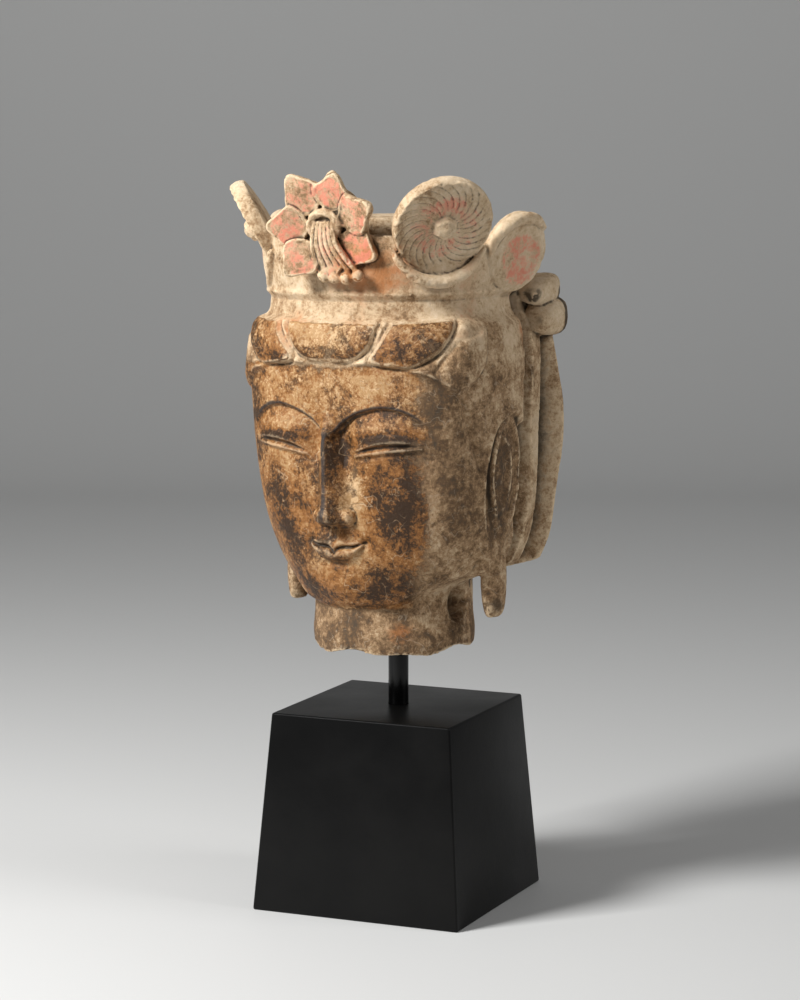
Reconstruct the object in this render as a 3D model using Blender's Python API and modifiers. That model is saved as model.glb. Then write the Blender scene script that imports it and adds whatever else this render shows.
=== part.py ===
"""Carved stone head of a crowned bodhisattva, carried by a round rod on a tapered block.
Metres, +Z up, the block's underside on z = 0 and its middle on the origin."""
import math

import bmesh
import bpy
import numpy as np
from mathutils import Matrix, Vector

# Block
BLOCK_BASE = 0.175
BLOCK_TOP = 0.151
BLOCK_HEIGHT = 0.1565
BLOCK_EDGE = 0.0015

# Rod, and the holes that hold it
ROD_DIAMETER = 0.016
ROD_SHOWN = 0.048
ROD_IN_BLOCK = 0.060
ROD_IN_NECK = 0.070
ROD_EDGE = 0.0005
FIT = 0.0003
OVERSHOOT = 0.03

# Stone: every form of the carving is a share of its height, in 386ths
STONE_HEIGHT = 0.386
STONE_TURN = math.radians(-12.4)
STONE_TILT = math.radians(-1.0)
SHARE = STONE_HEIGHT / 386

# Fineness of the carved surface
COLUMNS = 240
ROW = 2.0
GRAIN = 2.0
FACETS = 9000
MOST_KEPT = 0.8

# Plan of the head: height, half width, depth in front, depth behind, squareness in front
PLAN = np.array([
    (40, 74, 68, 70, 2.0), (50, 77, 72, 74, 2.0), (60, 80, 76.5, 79, 2.0), (71, 87, 79, 84, 2.05),
    (80, 92.5, 81, 88, 2.1), (99, 100, 83, 94, 2.25), (110, 102, 84, 96, 2.4), (150, 105.5, 88, 100, 2.7),
    (185, 106.5, 91, 102, 2.8), (215, 108, 92.5, 103.5, 2.8), (240, 108, 93, 104, 2.6),
    (258, 106, 92.5, 104, 2.5), (266, 103.5, 91, 102.5, 2.4), (271, 99, 88.5, 99, 2.3),
    (292, 98.5, 88.5, 98.5, 2.2), (304, 101, 91, 99.5, 2.2), (330, 104, 94, 102, 2.2),
], float)
BACK_SQUARENESS = 2.15
NECK_FOOT = 8
NECK_RADIUS = 62
NECK_AHEAD = 5
WALL_TOP = 326
WALL_RISE = 9
WALL_THICKNESS = 15
CROWN_FLOOR = 308
TOPKNOT_RADIUS = 60
TOPKNOT_TOP = 346
BLANK_RADIUS = 100
NECK_BOTTOM = BLOCK_HEIGHT + ROD_SHOWN
STONE_ZERO = NECK_BOTTOM - NECK_FOOT * SHARE

# Ornaments of the crown: angle from the front in degrees, reach from the axis, outward lean. They
# sit on the crown's wall, so their height is given from its top.
FLOWER_ANGLE = 4.8
FLOWER_REACH = 95
FLOWER_OVER_WALL = 12.5
FLOWER_HEIGHT = WALL_TOP + FLOWER_OVER_WALL
FLOWER_LEAN = 6
FLOWER_TURN = 5
PETALS = 7
FIRST_PETAL = 16
PETAL_START = 14
PETAL_LENGTH = 30
PETAL_HALF = 16.5
PETAL_THICKNESS = 8
ARCH_RADIUS = 12.5
STRANDS = 6
KNOBS = 4
KNOB_RADIUS = 4.9
WHEEL_ANGLE = 55.5
WHEEL_REACH = 107.5
WHEEL_OVER_WALL = 16
WHEEL_HEIGHT = WALL_TOP + WHEEL_OVER_WALL
WHEEL_LEAN = 30
WHEEL_RADIUS = 38.5
WHEEL_THICKNESS = 15
FLUTES = 26
FLUTE_DEPTH = 1.0
KNOB_RISE = 5.0
CRESCENT_RADIUS = 43.5
PLATE_ANGLE = 97
PLATE_REACH = 107
PLATE_UNDER_TOP = 7
PLATE_HEIGHT = WALL_TOP - PLATE_UNDER_TOP
PLATE_LEAN = 14
PLATE_RADIUS = 30
PLATE_TURN = 18
KNOT_ANGLE = 121
KNOT_REACH = 110
KNOT_HEIGHT = 277
LOBE_ANGLE = 90
LOBE_REACH = 91
LOBE_HEIGHT = 64


def flow(x, knots, values):
    """A smooth curve through the given points, flat beyond its ends."""
    knots, values = np.asarray(knots, float), np.asarray(values, float)
    slope = np.gradient(values, knots)
    x = np.clip(x, knots[0], knots[-1])
    k = np.clip(np.searchsorted(knots, x, side="right") - 1, 0, len(knots) - 2)
    span = knots[k + 1] - knots[k]
    s = (x - knots[k]) / span
    start = values[k] * (1 + 2 * s) * (1 - s) ** 2 + slope[k] * span * s * (1 - s) ** 2
    end = values[k + 1] * s * s * (3 - 2 * s) + slope[k + 1] * span * s * s * (s - 1)
    return start + end


def ease(x):
    """A soft step from 0 to 1."""
    x = np.clip(x, 0, 1)
    return x * x * (3 - 2 * x)


def bump(x):
    return np.exp(-x * x)


def within(x, low, high, soft):
    return ease((x - low) / soft + 0.5) * ease((high - x) / soft + 0.5)


def line_distance(t, h, points):
    """Distance from each place to a bent line."""
    nearest = np.full(np.shape(t), 1e6)
    for (t0, h0), (t1, h1) in zip(points, points[1:]):
        dt, dh = t1 - t0, h1 - h0
        k = np.clip(((t - t0) * dt + (h - h0) * dh) / (dt * dt + dh * dh), 0, 1)
        nearest = np.minimum(nearest, np.hypot(t - t0 - k * dt, h - h0 - k * dh))
    return nearest


def rounded(points, steps=6):
    """The bent line drawn as a smooth one."""
    along = np.arange(len(points))
    fine = np.linspace(0, len(points) - 1, steps * (len(points) - 1) + 1)
    return list(zip(flow(fine, along, [p[0] for p in points]), flow(fine, along, [p[1] for p in points])))


# Places on the head are (t, h): t is a hundred times the angle from the front, h the height

def plan(angle, height):
    across, front, behind, square = (flow(height, PLAN[:, 0], PLAN[:, k]) for k in (1, 2, 3, 4))
    ahead = np.cos(angle)
    depth = np.where(ahead > 0, front, behind)
    power = np.where(ahead > 0, square, BACK_SQUARENESS)
    return (np.abs(np.sin(angle) / across) ** power + np.abs(ahead / depth) ** power) ** (-1 / power)


def middle(h):
    """The face leans a little: its middle line drifts to the head's left lower down."""
    return flow(h, (40, 62, 100, 185, 250), (8, 7, 4.5, 1.5, 5))


BROW = ((0, 6, 14, 22, 38, 52, 67, 80, 90), (182, 185, 192, 197, 203, 205, 201.5, 193, 184))
EYE_PLACES = (24, 38, 50, 62, 78)
LID_LOWER = (169, 172, 173.8, 175, 176)
LID_UPPER = (169.3, 177, 180.5, 180.8, 176.6)


def eyes(a, h):
    below = flow(a, *BROW) - h
    hollow = flow(a, (0, 5, 12, 25, 50, 78, 90), (0, 2, 7.5, 6, 4.2, 2.4, 0))
    relief = -hollow * ease(below / 2.5) * np.exp(-np.clip(below, 0, None) / 16)
    relief += 1.2 * bump((below + 2.5) / 3) * within(a, 4, 84, 10)
    relief += 4.5 * bump((a - 52) / 27) * bump((h - 184) / 13) * ease(below / 4)
    relief -= 4.0 * bump((a - 18) / 8) * bump((h - 173) / 15)
    inside = within(a, 24, 78, 3)
    upper, lower = flow(a, EYE_PLACES, LID_UPPER), flow(a, EYE_PLACES, LID_LOWER)
    relief -= 2.2 * inside * ease((upper - h) / 1.6) * ease((h - lower) / 1.6)
    relief += 1.5 * inside * bump((h - lower + 2.4) / 2.2)
    return relief


NOSE_PROFILE = (
    (106, 110.5, 112.5, 115, 118.5, 126, 140, 160, 176, 188, 200),
    (0, 0.6, 11, 20.5, 22, 20, 16.5, 12, 8.5, 4.5, 0),
)


def nose(a, h):
    height = flow(h, *NOSE_PROFILE)
    foot = flow(h, (104, 112, 118, 128, 150, 175, 190), (18, 21, 22, 19, 16, 12, 8))
    crest = flow(h, (110, 118, 130, 160, 190), (6, 6, 3.2, 2.2, 2.2))
    relief = height * np.clip((foot - a) / (foot - crest), 0, 1) ** 1.2
    relief += 1.5 * bump(np.hypot(a, h - 118) / 7)
    relief += 6.5 * bump(np.hypot((a - 18) / 6.5, (h - 117.5) / 6)) * ease((h - 110.5) / 3)
    relief -= 1.6 * bump(np.hypot((a - 19) / 7.5, (h - 118) / 8) * 3 - 4.4) * ease((a - 17) / 6)
    return relief


MOUTH_DROP = 2.5


def mouth(a, h):
    h = h + MOUTH_DROP
    seam = flow(a, (0, 4, 12, 22, 31), (95, 97, 97.4, 98.6, 102))
    top = flow(a, (0, 7, 18, 31), (103, 105.2, 103.6, 102.4))
    foot = flow(a, (0, 10, 20, 29), (88.2, 88.8, 92.4, 99.5))
    relief = 3.5 * bump(a / 27) * bump((h - 97) / 13)
    upper = np.clip((h - seam) / np.maximum(top - seam, 0.5), 0, 1)
    lower = np.clip((seam - h) / np.maximum(seam - foot, 0.5), 0, 1)
    relief += within(a, -40, 30, 3) * (9.5 * upper * (1 - upper) + 14 * lower * (1 - lower))
    relief -= 2.4 * bump((h - seam) / 1.2) * within(a, -40, 33, 5)
    relief -= 2.5 * bump(np.hypot(a - 32, h - 102) / 4)
    relief -= 2.2 * bump(a / 17) * bump((h - 85) / 3)
    relief -= 1.4 * bump(a / 3) * within(h, 105, 116, 4)
    relief += 3.0 * bump(a / 22) * bump((h - 66) / 11)
    return relief


HAIR_MIDDLE = 8
HAIRLINE = ((0, 25, 39, 65, 83, 98, 118, 135), (235.5, 237, 236.5, 232, 225, 214, 222, 205))
LOCKS = [
    rounded([(-44, 268), (-37, 250), (-23, 239.5), (0, 238), (23, 239.5), (37, 250), (44, 268)]),
    rounded([
        (51, 268), (41, 251), (35, 241), (43, 236), (56, 234.5), (68, 235), (82, 242), (92, 252), (104, 270),
    ]),
    rounded([(98, 252), (85, 236), (83, 229), (91, 220), (100, 217), (118, 227), (126, 240), (129, 262)]),
]
LOCK_DEPTHS = (3.2, 3.2, 1.8)
TEMPLE = rounded([(110, 210), (112, 200), (117, 180), (126, 155)])


def hair(t, h):
    a = np.abs(t - HAIR_MIDDLE)
    a = np.where(t > HAIR_MIDDLE, a, a - 6 * ease((a - 30) / 40))
    brim = flow(a, *HAIRLINE)
    relief = 3.6 * ease((h - brim + 1) / 4) * within(a, -150, 112, 14) * ease((272 - h) / 3)
    relief += 1.2 * bump((h - brim - 2) / 2.2) * within(a, -150, 100, 10)
    for depth, lock in zip(LOCK_DEPTHS, LOCKS):
        relief -= depth * bump(line_distance(a, h, lock) / 2.1) * ease((273 - h) / 4)
    relief -= 2.4 * bump(line_distance(np.abs(t - 1), h, TEMPLE) / 3.2)
    return relief


EAR = (164, 138, 31, 59)
HELIX = (162, 148, 20, 43)
SHELL = (154, 149, 13.5, 28)
STRIP = ((30, 57, 96, 130), (150, 152, 150, 148))


def oval(a, h, middle_t, middle_h, half_wide, half_tall):
    """1 on the edge of an upright oval, less inside it."""
    return np.hypot((a - middle_t) / half_wide, (h - middle_h) / half_tall)


def ears(t, h):
    """A sunk almond with two raised ridges in it, and the strip that leads down to the lobe."""
    a = np.abs(t)
    relief = -4.5 * ease((1 - oval(a, h, *EAR)) / 0.1) * ease((h - 88) / 30)
    relief += 2.6 * bump((oval(a, h, *HELIX) - 1) / 0.14) * ease((h - 98) / 20)
    relief += 2.8 * bump((oval(a, h, *SHELL) - 1) / 0.22)
    strip = flow(h, *STRIP)
    relief -= 2.2 * bump((a - strip + 16) / 3) * within(h, 50, 84, 12)
    relief += 7.0 * within(a - strip, -13, 13, 9) * ease((104 - h) / 36) * ease((h - 40) / 5)
    return relief


GAP = ((50, 90, 140, 188, 258, 300), (181, 184, 187, 186, 188, 188))
RIBBON_RELIEF = ((60, 120, 187, 240, 262), (22, 21, 25, 17, 14))


def ribbons(t, h):
    """Two flat bands that hang behind each ear, with a deep gap before each."""
    s = np.abs(t) - flow(h, *GAP)
    first = (2.5 + 3.5 * ease((s - 4) / 16)) * within(s, 4, 21, 3) * ease((h - 56) / 2)
    second = flow(h, *RIBBON_RELIEF) * within(s, 28, 56, 5) * ease((h - 64) / 2)
    gaps = (11 * within(s, -4, 4.5, 4) + 5 * within(s, 21, 28, 3)) * ease((h - 50) / 20)
    return (first + second - gaps) * ease((288 - h) / 6)


def jaw(t):
    """Height of the ledge where the head meets the neck."""
    return flow(np.abs(t - 4), (0, 30, 60, 100, 150, 200, 314), (43, 43, 46, 55, 59, 60, 66))


NECK_PIT = (150, 46, 14, 10)
PIT_DEPTH = 17


def outline(angle, h):
    """Distance of the carved surface from the stone's axis."""
    t = 100 * angle
    a = np.abs(t - middle(h))
    face = (eyes(a, h) + nose(a, h) + mouth(a, h)) * ease((115 - a) / 15)
    head = plan(angle, h) + face + hair(t, h) + ears(t, h) + ribbons(t, h)
    head += 1.6 * bump((h - 290) / 2.6) - 1.2 * bump((h - 285) / 2.5)
    neck = NECK_AHEAD * np.cos(angle) + NECK_RADIUS + 1.5 * bump((h - 20) / 14)
    neck -= PIT_DEPTH * ease(1.6 - oval(t, h, *NECK_PIT))
    soft = 7 + 10 * ease((np.abs(t) - 55) / 45)
    return neck + (head - neck) * ease((h - jaw(t)) / soft)


def broken_edge(angle, radius):
    """How far the break lifts the neck's underside."""
    wave = 3 - np.cos(2 * angle - 1.3) + 1.6 * np.sin(5 * angle + 0.6) + 1.2 * np.sin(9 * angle + 1.4)
    return np.clip(wave, 0, None) + 3 * (1 - radius / BLANK_RADIUS)


def turned(profile, steps):
    """A closed body turned round Z from a profile that starts and ends on the axis."""
    bm = bmesh.new()
    corners = [bm.verts.new((radius, 0, height)) for radius, height in profile]
    edges = [bm.edges.new(pair) for pair in zip(corners, corners[1:])]
    bmesh.ops.spin(
        bm, geom=corners + edges, cent=(0, 0, 0), axis=(0, 0, 1), angle=math.tau, steps=steps, use_merge=True
    )
    bmesh.ops.remove_doubles(bm, verts=bm.verts, dist=1e-4)
    bmesh.ops.recalc_face_normals(bm, faces=bm.faces)
    return bm


def line(start, end, step):
    """Evenly spaced profile points, without the last."""
    count = max(1, round(math.dist(start, end) / step))
    return [tuple(np.array(start) + (np.array(end) - start) * k / count) for k in range(count)]


def shaped(bm, rule):
    """Moves all points of a body by a rule on their coordinates, and gives it back as a mesh."""
    mesh = bpy.data.meshes.new("carving")
    bm.to_mesh(mesh)
    bm.free()
    points = np.empty(3 * len(mesh.vertices))
    mesh.vertices.foreach_get("co", points)
    mesh.vertices.foreach_set("co", np.stack(rule(*points.reshape(-1, 3).T), axis=1).ravel())
    mesh.update()
    return mesh


def carved_core():
    """Neck, head, crown wall and topknot."""
    inner = BLANK_RADIUS - WALL_THICKNESS
    corners = [
        (0, NECK_FOOT), (BLANK_RADIUS, NECK_FOOT), (BLANK_RADIUS, WALL_TOP), (inner, WALL_TOP),
        (inner - 3, CROWN_FLOOR), (TOPKNOT_RADIUS + 2, CROWN_FLOOR), (TOPKNOT_RADIUS, TOPKNOT_TOP - 8),
        (TOPKNOT_RADIUS - 10, TOPKNOT_TOP), (0, TOPKNOT_TOP),
    ]
    profile = [point for pair in zip(corners, corners[1:]) for point in line(*pair, ROW)] + [corners[-1]]

    def rule(x, y, z):
        angle, radius = np.arctan2(x, -y), np.hypot(x, y)
        whole = outline(angle, np.clip(z, 0, WALL_TOP))
        inside = plan(angle, np.clip(z, CROWN_FLOOR, WALL_TOP))
        outer = (z < WALL_TOP - 1) & (radius > BLANK_RADIUS - 1) | (z < NECK_FOOT + 1)
        reach = radius / BLANK_RADIUS * np.where(outer, whole, inside)
        rise = z + broken_edge(angle, radius) * ease((NECK_FOOT + 24 - z) / 24)
        rise += WALL_RISE * ease((z - 310) / 16) * ease((radius - inner + 4) / 3) * ease(1.5 - np.abs(angle))
        return reach * np.sin(angle), -reach * np.cos(angle), rise

    return shaped(turned(profile, COLUMNS), rule)


def turn_about(axis, degrees):
    return Matrix.Rotation(math.radians(degrees), 4, axis)


def mirrored(side):
    return Matrix.Diagonal((side, 1, 1, 1))


def seat(angle, reach, height, lean=0):
    """Frame on the crown: X runs along the wall to the head's left, Y up the lean, Z outwards."""
    return turn_about("Z", angle) @ Matrix.Translation((0, -reach, height)) @ turn_about("X", 90 + lean)


def wheel():
    """Leaf wheel: a disc with a round rim, curved flutes and a six-sided knob."""
    half = WHEEL_THICKNESS / 2
    rim = ((1, -0.45), (1.02, 0), (1, 0.5), (0.98, 0.82), (0.94, 1))
    edge = [(WHEEL_RADIUS * share, half * rise) for share, rise in rim]
    face = line((0.94 * WHEEL_RADIUS, half), (0, half + 1), ROW) + [(0, half + 1)]
    back = line((0, -half), (0.9 * WHEEL_RADIUS, -half), 2 * ROW) + [(0.96 * WHEEL_RADIUS, -0.85 * half)]

    def rule(x, y, z):
        reach, angle = np.hypot(x, y) / WHEEL_RADIUS, np.arctan2(y, x)
        flute = np.cos(FLUTES * (angle + 1.5 * (reach - 0.5) ** 2 + 0.5 * reach))
        front = (z > 0) * within(reach, 0.24, 0.96, 0.1)
        dish = -2.0 * (z > 0) * within(reach, 0.1, 0.92, 0.14)
        knob = KNOB_RISE * (z > 0) * ease((0.25 - reach * (1 + 0.05 * np.cos(6 * angle))) / 0.07)
        return x, y, z + FLUTE_DEPTH * flute * front + dish + knob

    return shaped(turned(back + edge + face, 4 * FLUTES), rule)


def pod(path, half_wide, half_deep, sides=12, rings=18, blunt=0.5, square=2.0):
    """A round-ended body along a path of (x, y, z) points, wide across the wall and thinner outwards."""
    bm = bmesh.new()
    bmesh.ops.create_uvsphere(bm, u_segments=sides, v_segments=rings, radius=1)
    count = np.arange(len(path))

    def on_path(s):
        return np.stack([flow(s * count[-1], count, [p[k] for p in path]) for k in range(3)])

    def rule(x, y, z):
        s = (z + 1) / 2
        along = on_path(s + 0.01) - on_path(s - 0.01)
        along /= np.linalg.norm(along, axis=0)
        side = np.stack([along[1], -along[0], 0 * s])
        side /= np.maximum(np.linalg.norm(side, axis=0), 1e-6)
        out = np.cross(side, along, axis=0)
        ring = np.maximum(np.hypot(x, y), 1e-6)
        u, v = x / ring, y / ring
        corner = np.maximum(np.abs(u) ** square + np.abs(v) ** square, 1e-6)
        full = ring ** blunt * corner ** (-1 / square)
        wide = flow(s * (len(half_wide) - 1), np.arange(len(half_wide)), half_wide)
        deep = flow(s * (len(half_deep) - 1), np.arange(len(half_deep)), half_deep)
        return tuple(on_path(s) + side * u * full * wide + out * v * full * deep)

    return shaped(bm, rule)


def petal(length=PETAL_LENGTH, half=PETAL_HALF, thick=PETAL_THICKNESS):
    """A hollowed petal from the flower's middle outwards along Y, drawn to a point."""
    bm = bmesh.new()
    bmesh.ops.create_uvsphere(bm, u_segments=28, v_segments=20, radius=1)

    def rule(x, y, z):
        tip = ease((y + 1) / 2)
        across = x * half * (0.70 + 0.42 * tip - 0.34 * ease((y - 0.35) / 0.65))
        along = length * (y + 1) / 2 + 4.0 * ease((y - 0.55) / 0.45)
        inside = np.hypot(x, y)
        cup = (2.8 * ease((0.88 - inside) / 0.16) - 1.4 * bump(inside / 0.45)) * (z > 0)
        lift = np.sign(z) * np.abs(z) ** 0.45 * thick / 2 * (1 + 0.35 * tip)
        return across, along, lift - cup + 2.4 * tip

    return shaped(bm, rule)


def as_made(x, y, z):
    return x, y, z


def ball(place, radius):
    bm = bmesh.new()
    bmesh.ops.create_icosphere(bm, subdivisions=2, radius=radius, matrix=Matrix.Translation(place))
    return shaped(bm, as_made)


def flower(put):
    """Lotus of seven petals; strands fall from under an arch to a row of round knobs."""
    centre = seat(FLOWER_ANGLE, FLOWER_REACH, FLOWER_HEIGHT, FLOWER_LEAN) @ turn_about("Y", FLOWER_TURN)
    for k in range(PETALS):
        angle = FIRST_PETAL + k * 360 / PETALS
        longer = 1 + 0.08 * math.sin(math.radians(angle))
        bend = turn_about("X", 6 if k % 2 else -2)
        place = turn_about("Z", -angle) @ Matrix.Translation((0, PETAL_START, 1.5)) @ bend
        put(petal(PETAL_LENGTH * longer), centre @ place)
    put(petal(18, 11, 6), centre @ turn_about("Z", -10) @ Matrix.Translation((0, 22, -4)))
    for profile in (
        [(0, -12), (28, -12), (32, -8), (33, -3), (28, 0), (0, 0)],
        [(0, -8), (ARCH_RADIUS, -8), (ARCH_RADIUS + 1.5, 2), (ARCH_RADIUS, 4), (0, 4.5)],
    ):
        put(shaped(turned(profile, 40), as_made), centre)
    turns = np.radians(range(-120, 121, 40))
    arch = [(ARCH_RADIUS * math.sin(g), ARCH_RADIUS * math.cos(g), 5) for g in turns]
    put(pod(arch, (3, 3.2, 3), (3, 4, 3), 8, 24), centre)
    for k in range(STRANDS):
        way = [(-5 + 2 * k, 6, 6), (-6 + 3.3 * k, -12, 9.5), (-3 + 5.6 * k, -32, 5)]
        put(pod(way, (1.9, 2.1, 2.9), (2.2, 2.6, 2.6), 8, 14), centre)
    for k in range(KNOBS):
        put(ball((9.7 * k - 1.5, 0.9 * (k - 1.4) ** 2 - 37, 4.5), KNOB_RADIUS), centre)


def wheels(put):
    """A wheel on each side of the flower, over a crescent."""
    for side in (-1, 1):
        reach, height = WHEEL_REACH + 5 * side, WHEEL_HEIGHT + 2 * side
        centre = seat(side * WHEEL_ANGLE, reach, height, WHEEL_LEAN) @ mirrored(side)
        put(wheel(), centre)
        arc = [
            (CRESCENT_RADIUS * math.sin(g), -CRESCENT_RADIUS * math.cos(g), 24 * math.cos(g) - 10)
            for g in np.radians(range(-78, 63, 28))
        ]
        put(pod(arc, (1.5, 3.5, 4.5, 4.5, 3.5, 1.5), (3, 5, 6, 6, 5, 3), 12, 36), centre)


def plates(put):
    """Leaf plates behind the wheels, with a rolled upper rim."""
    size = PLATE_RADIUS

    def rule(x, y, z):
        dish = 2.5 * ease((0.75 - np.hypot(x, y) / size) / 0.3) * (z > 0)
        return x, y * (1.04 - 0.1 * (x / size) ** 2), z - dish

    leaf = [(0, -7), (0.87 * size, -7), (size, -4), (1.03 * size, 0), (0.97 * size, 4), (0.8 * size, 6)]
    leaf.append((0, 7))
    roll = [(-29, -4, 3), (-26, 13, 4), (-12, 25, 5), (8, 28, 5), (24, 20, 4)]
    for side in (-1, 1):
        centre = seat(side * PLATE_ANGLE, PLATE_REACH, PLATE_HEIGHT, PLATE_LEAN) @ mirrored(side)
        centre = centre @ turn_about("Y", -PLATE_TURN)
        put(shaped(turned(leaf, 48), rule), centre)
        put(pod(roll, (2, 4.5, 5, 4.5, 3), (3, 5, 6, 5, 3), 12, 28), centre)


def knots(put):
    """Tied bow above the ribbons: a small upper fold and a large lower roll, with a strap to the crown."""
    upper = [(-20, 6, -6), (-8, 11, 4), (8, 12, 7), (20, 9, 4)]
    lower = [(-20, -14, 0), (-6, -11, 7), (10, -10, 10), (24, -9, 9)]
    strap = [(-4, 24, -10), (0, 8, 4), (2, -8, 10)]
    for side in (-1, 1):
        centre = seat(side * KNOT_ANGLE, KNOT_REACH, KNOT_HEIGHT) @ mirrored(side)
        put(pod(upper, (8, 11, 11, 9), (12, 13, 13, 10), 16, 20, 0.3, 3.4), centre)
        put(pod(lower, (9, 14, 15, 13), (12, 15, 16, 13), 16, 20, 0.3, 3.2), centre)
        put(pod(strap, (5, 6, 6), (7, 8, 6), 12, 14), centre)


def ear_lobes(put):
    """The long lobes hang free below the jaw."""
    way = [(2, 44, 2), (1, 20, 1), (0, -4, 1), (-1, -27, 2)]
    for side in (-1, 1):
        centre = seat(side * LOBE_ANGLE, LOBE_REACH, LOBE_HEIGHT) @ mirrored(side)
        put(pod(way, (8, 12, 13, 12), (6, 8, 8.5, 8), 16, 24, 0.35), centre)


def carved_stone():
    """All of the carving fused into one body, in the stone's own frame."""
    whole = bmesh.new()

    def put(mesh, frame):
        mesh.transform(frame)
        if frame.determinant() < 0:
            mesh.flip_normals()
        whole.from_mesh(mesh)
        bpy.data.meshes.remove(mesh)

    put(carved_core(), Matrix())
    for group in (flower, wheels, plates, knots, ear_lobes):
        group(put)
    mesh = bpy.data.meshes.new("stone")
    whole.to_mesh(mesh)
    whole.free()
    mesh.transform(Matrix.Scale(SHARE, 4))
    return mesh


def material(name, colour, roughness, metallic=0.0):
    result = bpy.data.materials.new(name)
    result.use_nodes = True
    shader = result.node_tree.nodes["Principled BSDF"]
    shader.inputs["Base Color"].default_value = (*colour, 1)
    shader.inputs["Roughness"].default_value = roughness
    shader.inputs["Metallic"].default_value = metallic
    return result


def collection(name):
    result = bpy.data.collections.new(name)
    bpy.context.scene.collection.children.link(result)
    return result


def thing(name, mesh, group, look=None):
    result = bpy.data.objects.new(name, mesh)
    if look:
        mesh.materials.append(look)
    group.objects.link(result)
    return result


def round_bar(name, diameter, low, high, group, look=None, bevel=0.0):
    """An upright bar on the Z axis."""
    bm = bmesh.new()
    middle_height = Matrix.Translation((0, 0, (low + high) / 2))
    radius = diameter / 2
    bmesh.ops.create_cone(
        bm, cap_ends=True, segments=32, radius1=radius, radius2=radius, depth=high - low, matrix=middle_height
    )
    if bevel:
        rims = [edge for edge in bm.edges if abs(edge.verts[0].co.z - edge.verts[1].co.z) < 1e-6]
        bmesh.ops.bevel(bm, geom=rims, offset=bevel, segments=1, affect="EDGES")
    mesh = bpy.data.meshes.new(name)
    bm.to_mesh(mesh)
    bm.free()
    return thing(name, mesh, group, look)


def cut(target, cutter):
    cutter.hide_render = True
    cutter.display_type = "WIRE"
    boolean = target.modifiers.new("Hole for the rod", "BOOLEAN")
    boolean.object = cutter
    boolean.solver = "EXACT"


def make_block(group, cutters):
    bm = bmesh.new()
    bmesh.ops.create_cube(bm, size=1, matrix=Matrix.Translation((0, 0, 0.5)))
    for vert in bm.verts:
        width = BLOCK_TOP if vert.co.z > 0.5 else BLOCK_BASE
        vert.co = Vector((vert.co.x * width, vert.co.y * width, vert.co.z * BLOCK_HEIGHT))
    mesh = bpy.data.meshes.new("plinth")
    bm.to_mesh(mesh)
    bm.free()
    block = thing("plinth", mesh, group, material("black painted wood", (0.012, 0.012, 0.013), 0.42))
    bevel = block.modifiers.new("Soft edges", "BEVEL")
    bevel.width = BLOCK_EDGE
    bevel.segments = 2
    low = BLOCK_HEIGHT - ROD_IN_BLOCK
    cut(block, round_bar("block hole", ROD_DIAMETER + 2 * FIT, low, BLOCK_HEIGHT + OVERSHOOT, cutters))


def make_rod(group):
    low = BLOCK_HEIGHT - ROD_IN_BLOCK + FIT
    high = NECK_BOTTOM + ROD_IN_NECK - FIT
    black = material("black metal", (0.01, 0.01, 0.01), 0.25, 0.8)
    round_bar("rod", ROD_DIAMETER, low, high, group, black, ROD_EDGE)


def make_head(group, cutters):
    rough = thing("rough stone", carved_stone(), cutters)
    remesh = rough.modifiers.new("Fused", "REMESH")
    remesh.mode = "VOXEL"
    remesh.voxel_size = GRAIN * SHARE
    remesh.use_smooth_shade = True
    bpy.context.view_layer.update()
    fused = bpy.data.meshes.new_from_object(rough.evaluated_get(bpy.context.evaluated_depsgraph_get()))
    fused.name = "head"
    bpy.data.objects.remove(rough)
    head = thing("head", fused, group, material("gilded limestone", (0.42, 0.31, 0.2), 0.7))
    head.location = (0, 0, STONE_ZERO)
    head.rotation_euler = (0, STONE_TILT, STONE_TURN)
    points = np.empty(3 * len(fused.vertices))
    fused.vertices.foreach_get("co", points)
    x, y, z = points.reshape(-1, 3).T / SHARE
    t = 100 * np.abs(np.arctan2(x, -y))
    eye_band = within(z, 150, 206, 10) * within(t, -1, 76, 10)
    nose_and_mouth = within(z, 84, 150, 10) * within(t, -1, 32, 10)
    ear_shell = 0.3 * within(z, 90, 195, 12) * within(t, 135, 190, 12)
    crown = ease((z - 296) / 8) * ease((-y + 40) / 30)
    kept = MOST_KEPT * np.clip(eye_band + nose_and_mouth + ear_shell + crown, 0, 1)
    weights = head.vertex_groups.new(name="fine carving")
    for level in range(1, 6):
        chosen = np.flatnonzero(np.round(kept * 5) == level)
        weights.add(chosen.tolist(), level / 5, "REPLACE")
    decimate = head.modifiers.new("Facets", "DECIMATE")
    decimate.vertex_group = weights.name
    decimate.invert_vertex_group = True
    decimate.vertex_group_factor = 0.03
    decimate.ratio = FACETS / (2 * len(fused.polygons))
    decimate.use_collapse_triangulate = True
    high = NECK_BOTTOM + ROD_IN_NECK
    cut(head, round_bar("neck hole", ROD_DIAMETER + 2 * FIT, NECK_BOTTOM - OVERSHOOT, high, cutters))


for old in list(bpy.data.objects):
    bpy.data.objects.remove(old, do_unlink=True)
parts = collection("Bodhisattva head")
helpers = collection("Cutters")
make_block(parts, helpers)
make_rod(parts)
make_head(parts, helpers)
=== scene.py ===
# %% [markdown]
# # A carved stone head on its block
#
# The object is the head of a crowned bodhisattva, carved from one pale limestone and once gilded.
# A round black rod carries it over a black painted block. The solids of all three come from a
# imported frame, and this lesson makes the surface that the eye sees: the fine carving, the worn
# gilding and pigment, the paint of the block and the polish of the rod.

# %% Load the frame
import math

import bmesh
import bpy
import numpy as np
from mathutils import Matrix, Vector, noise


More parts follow.
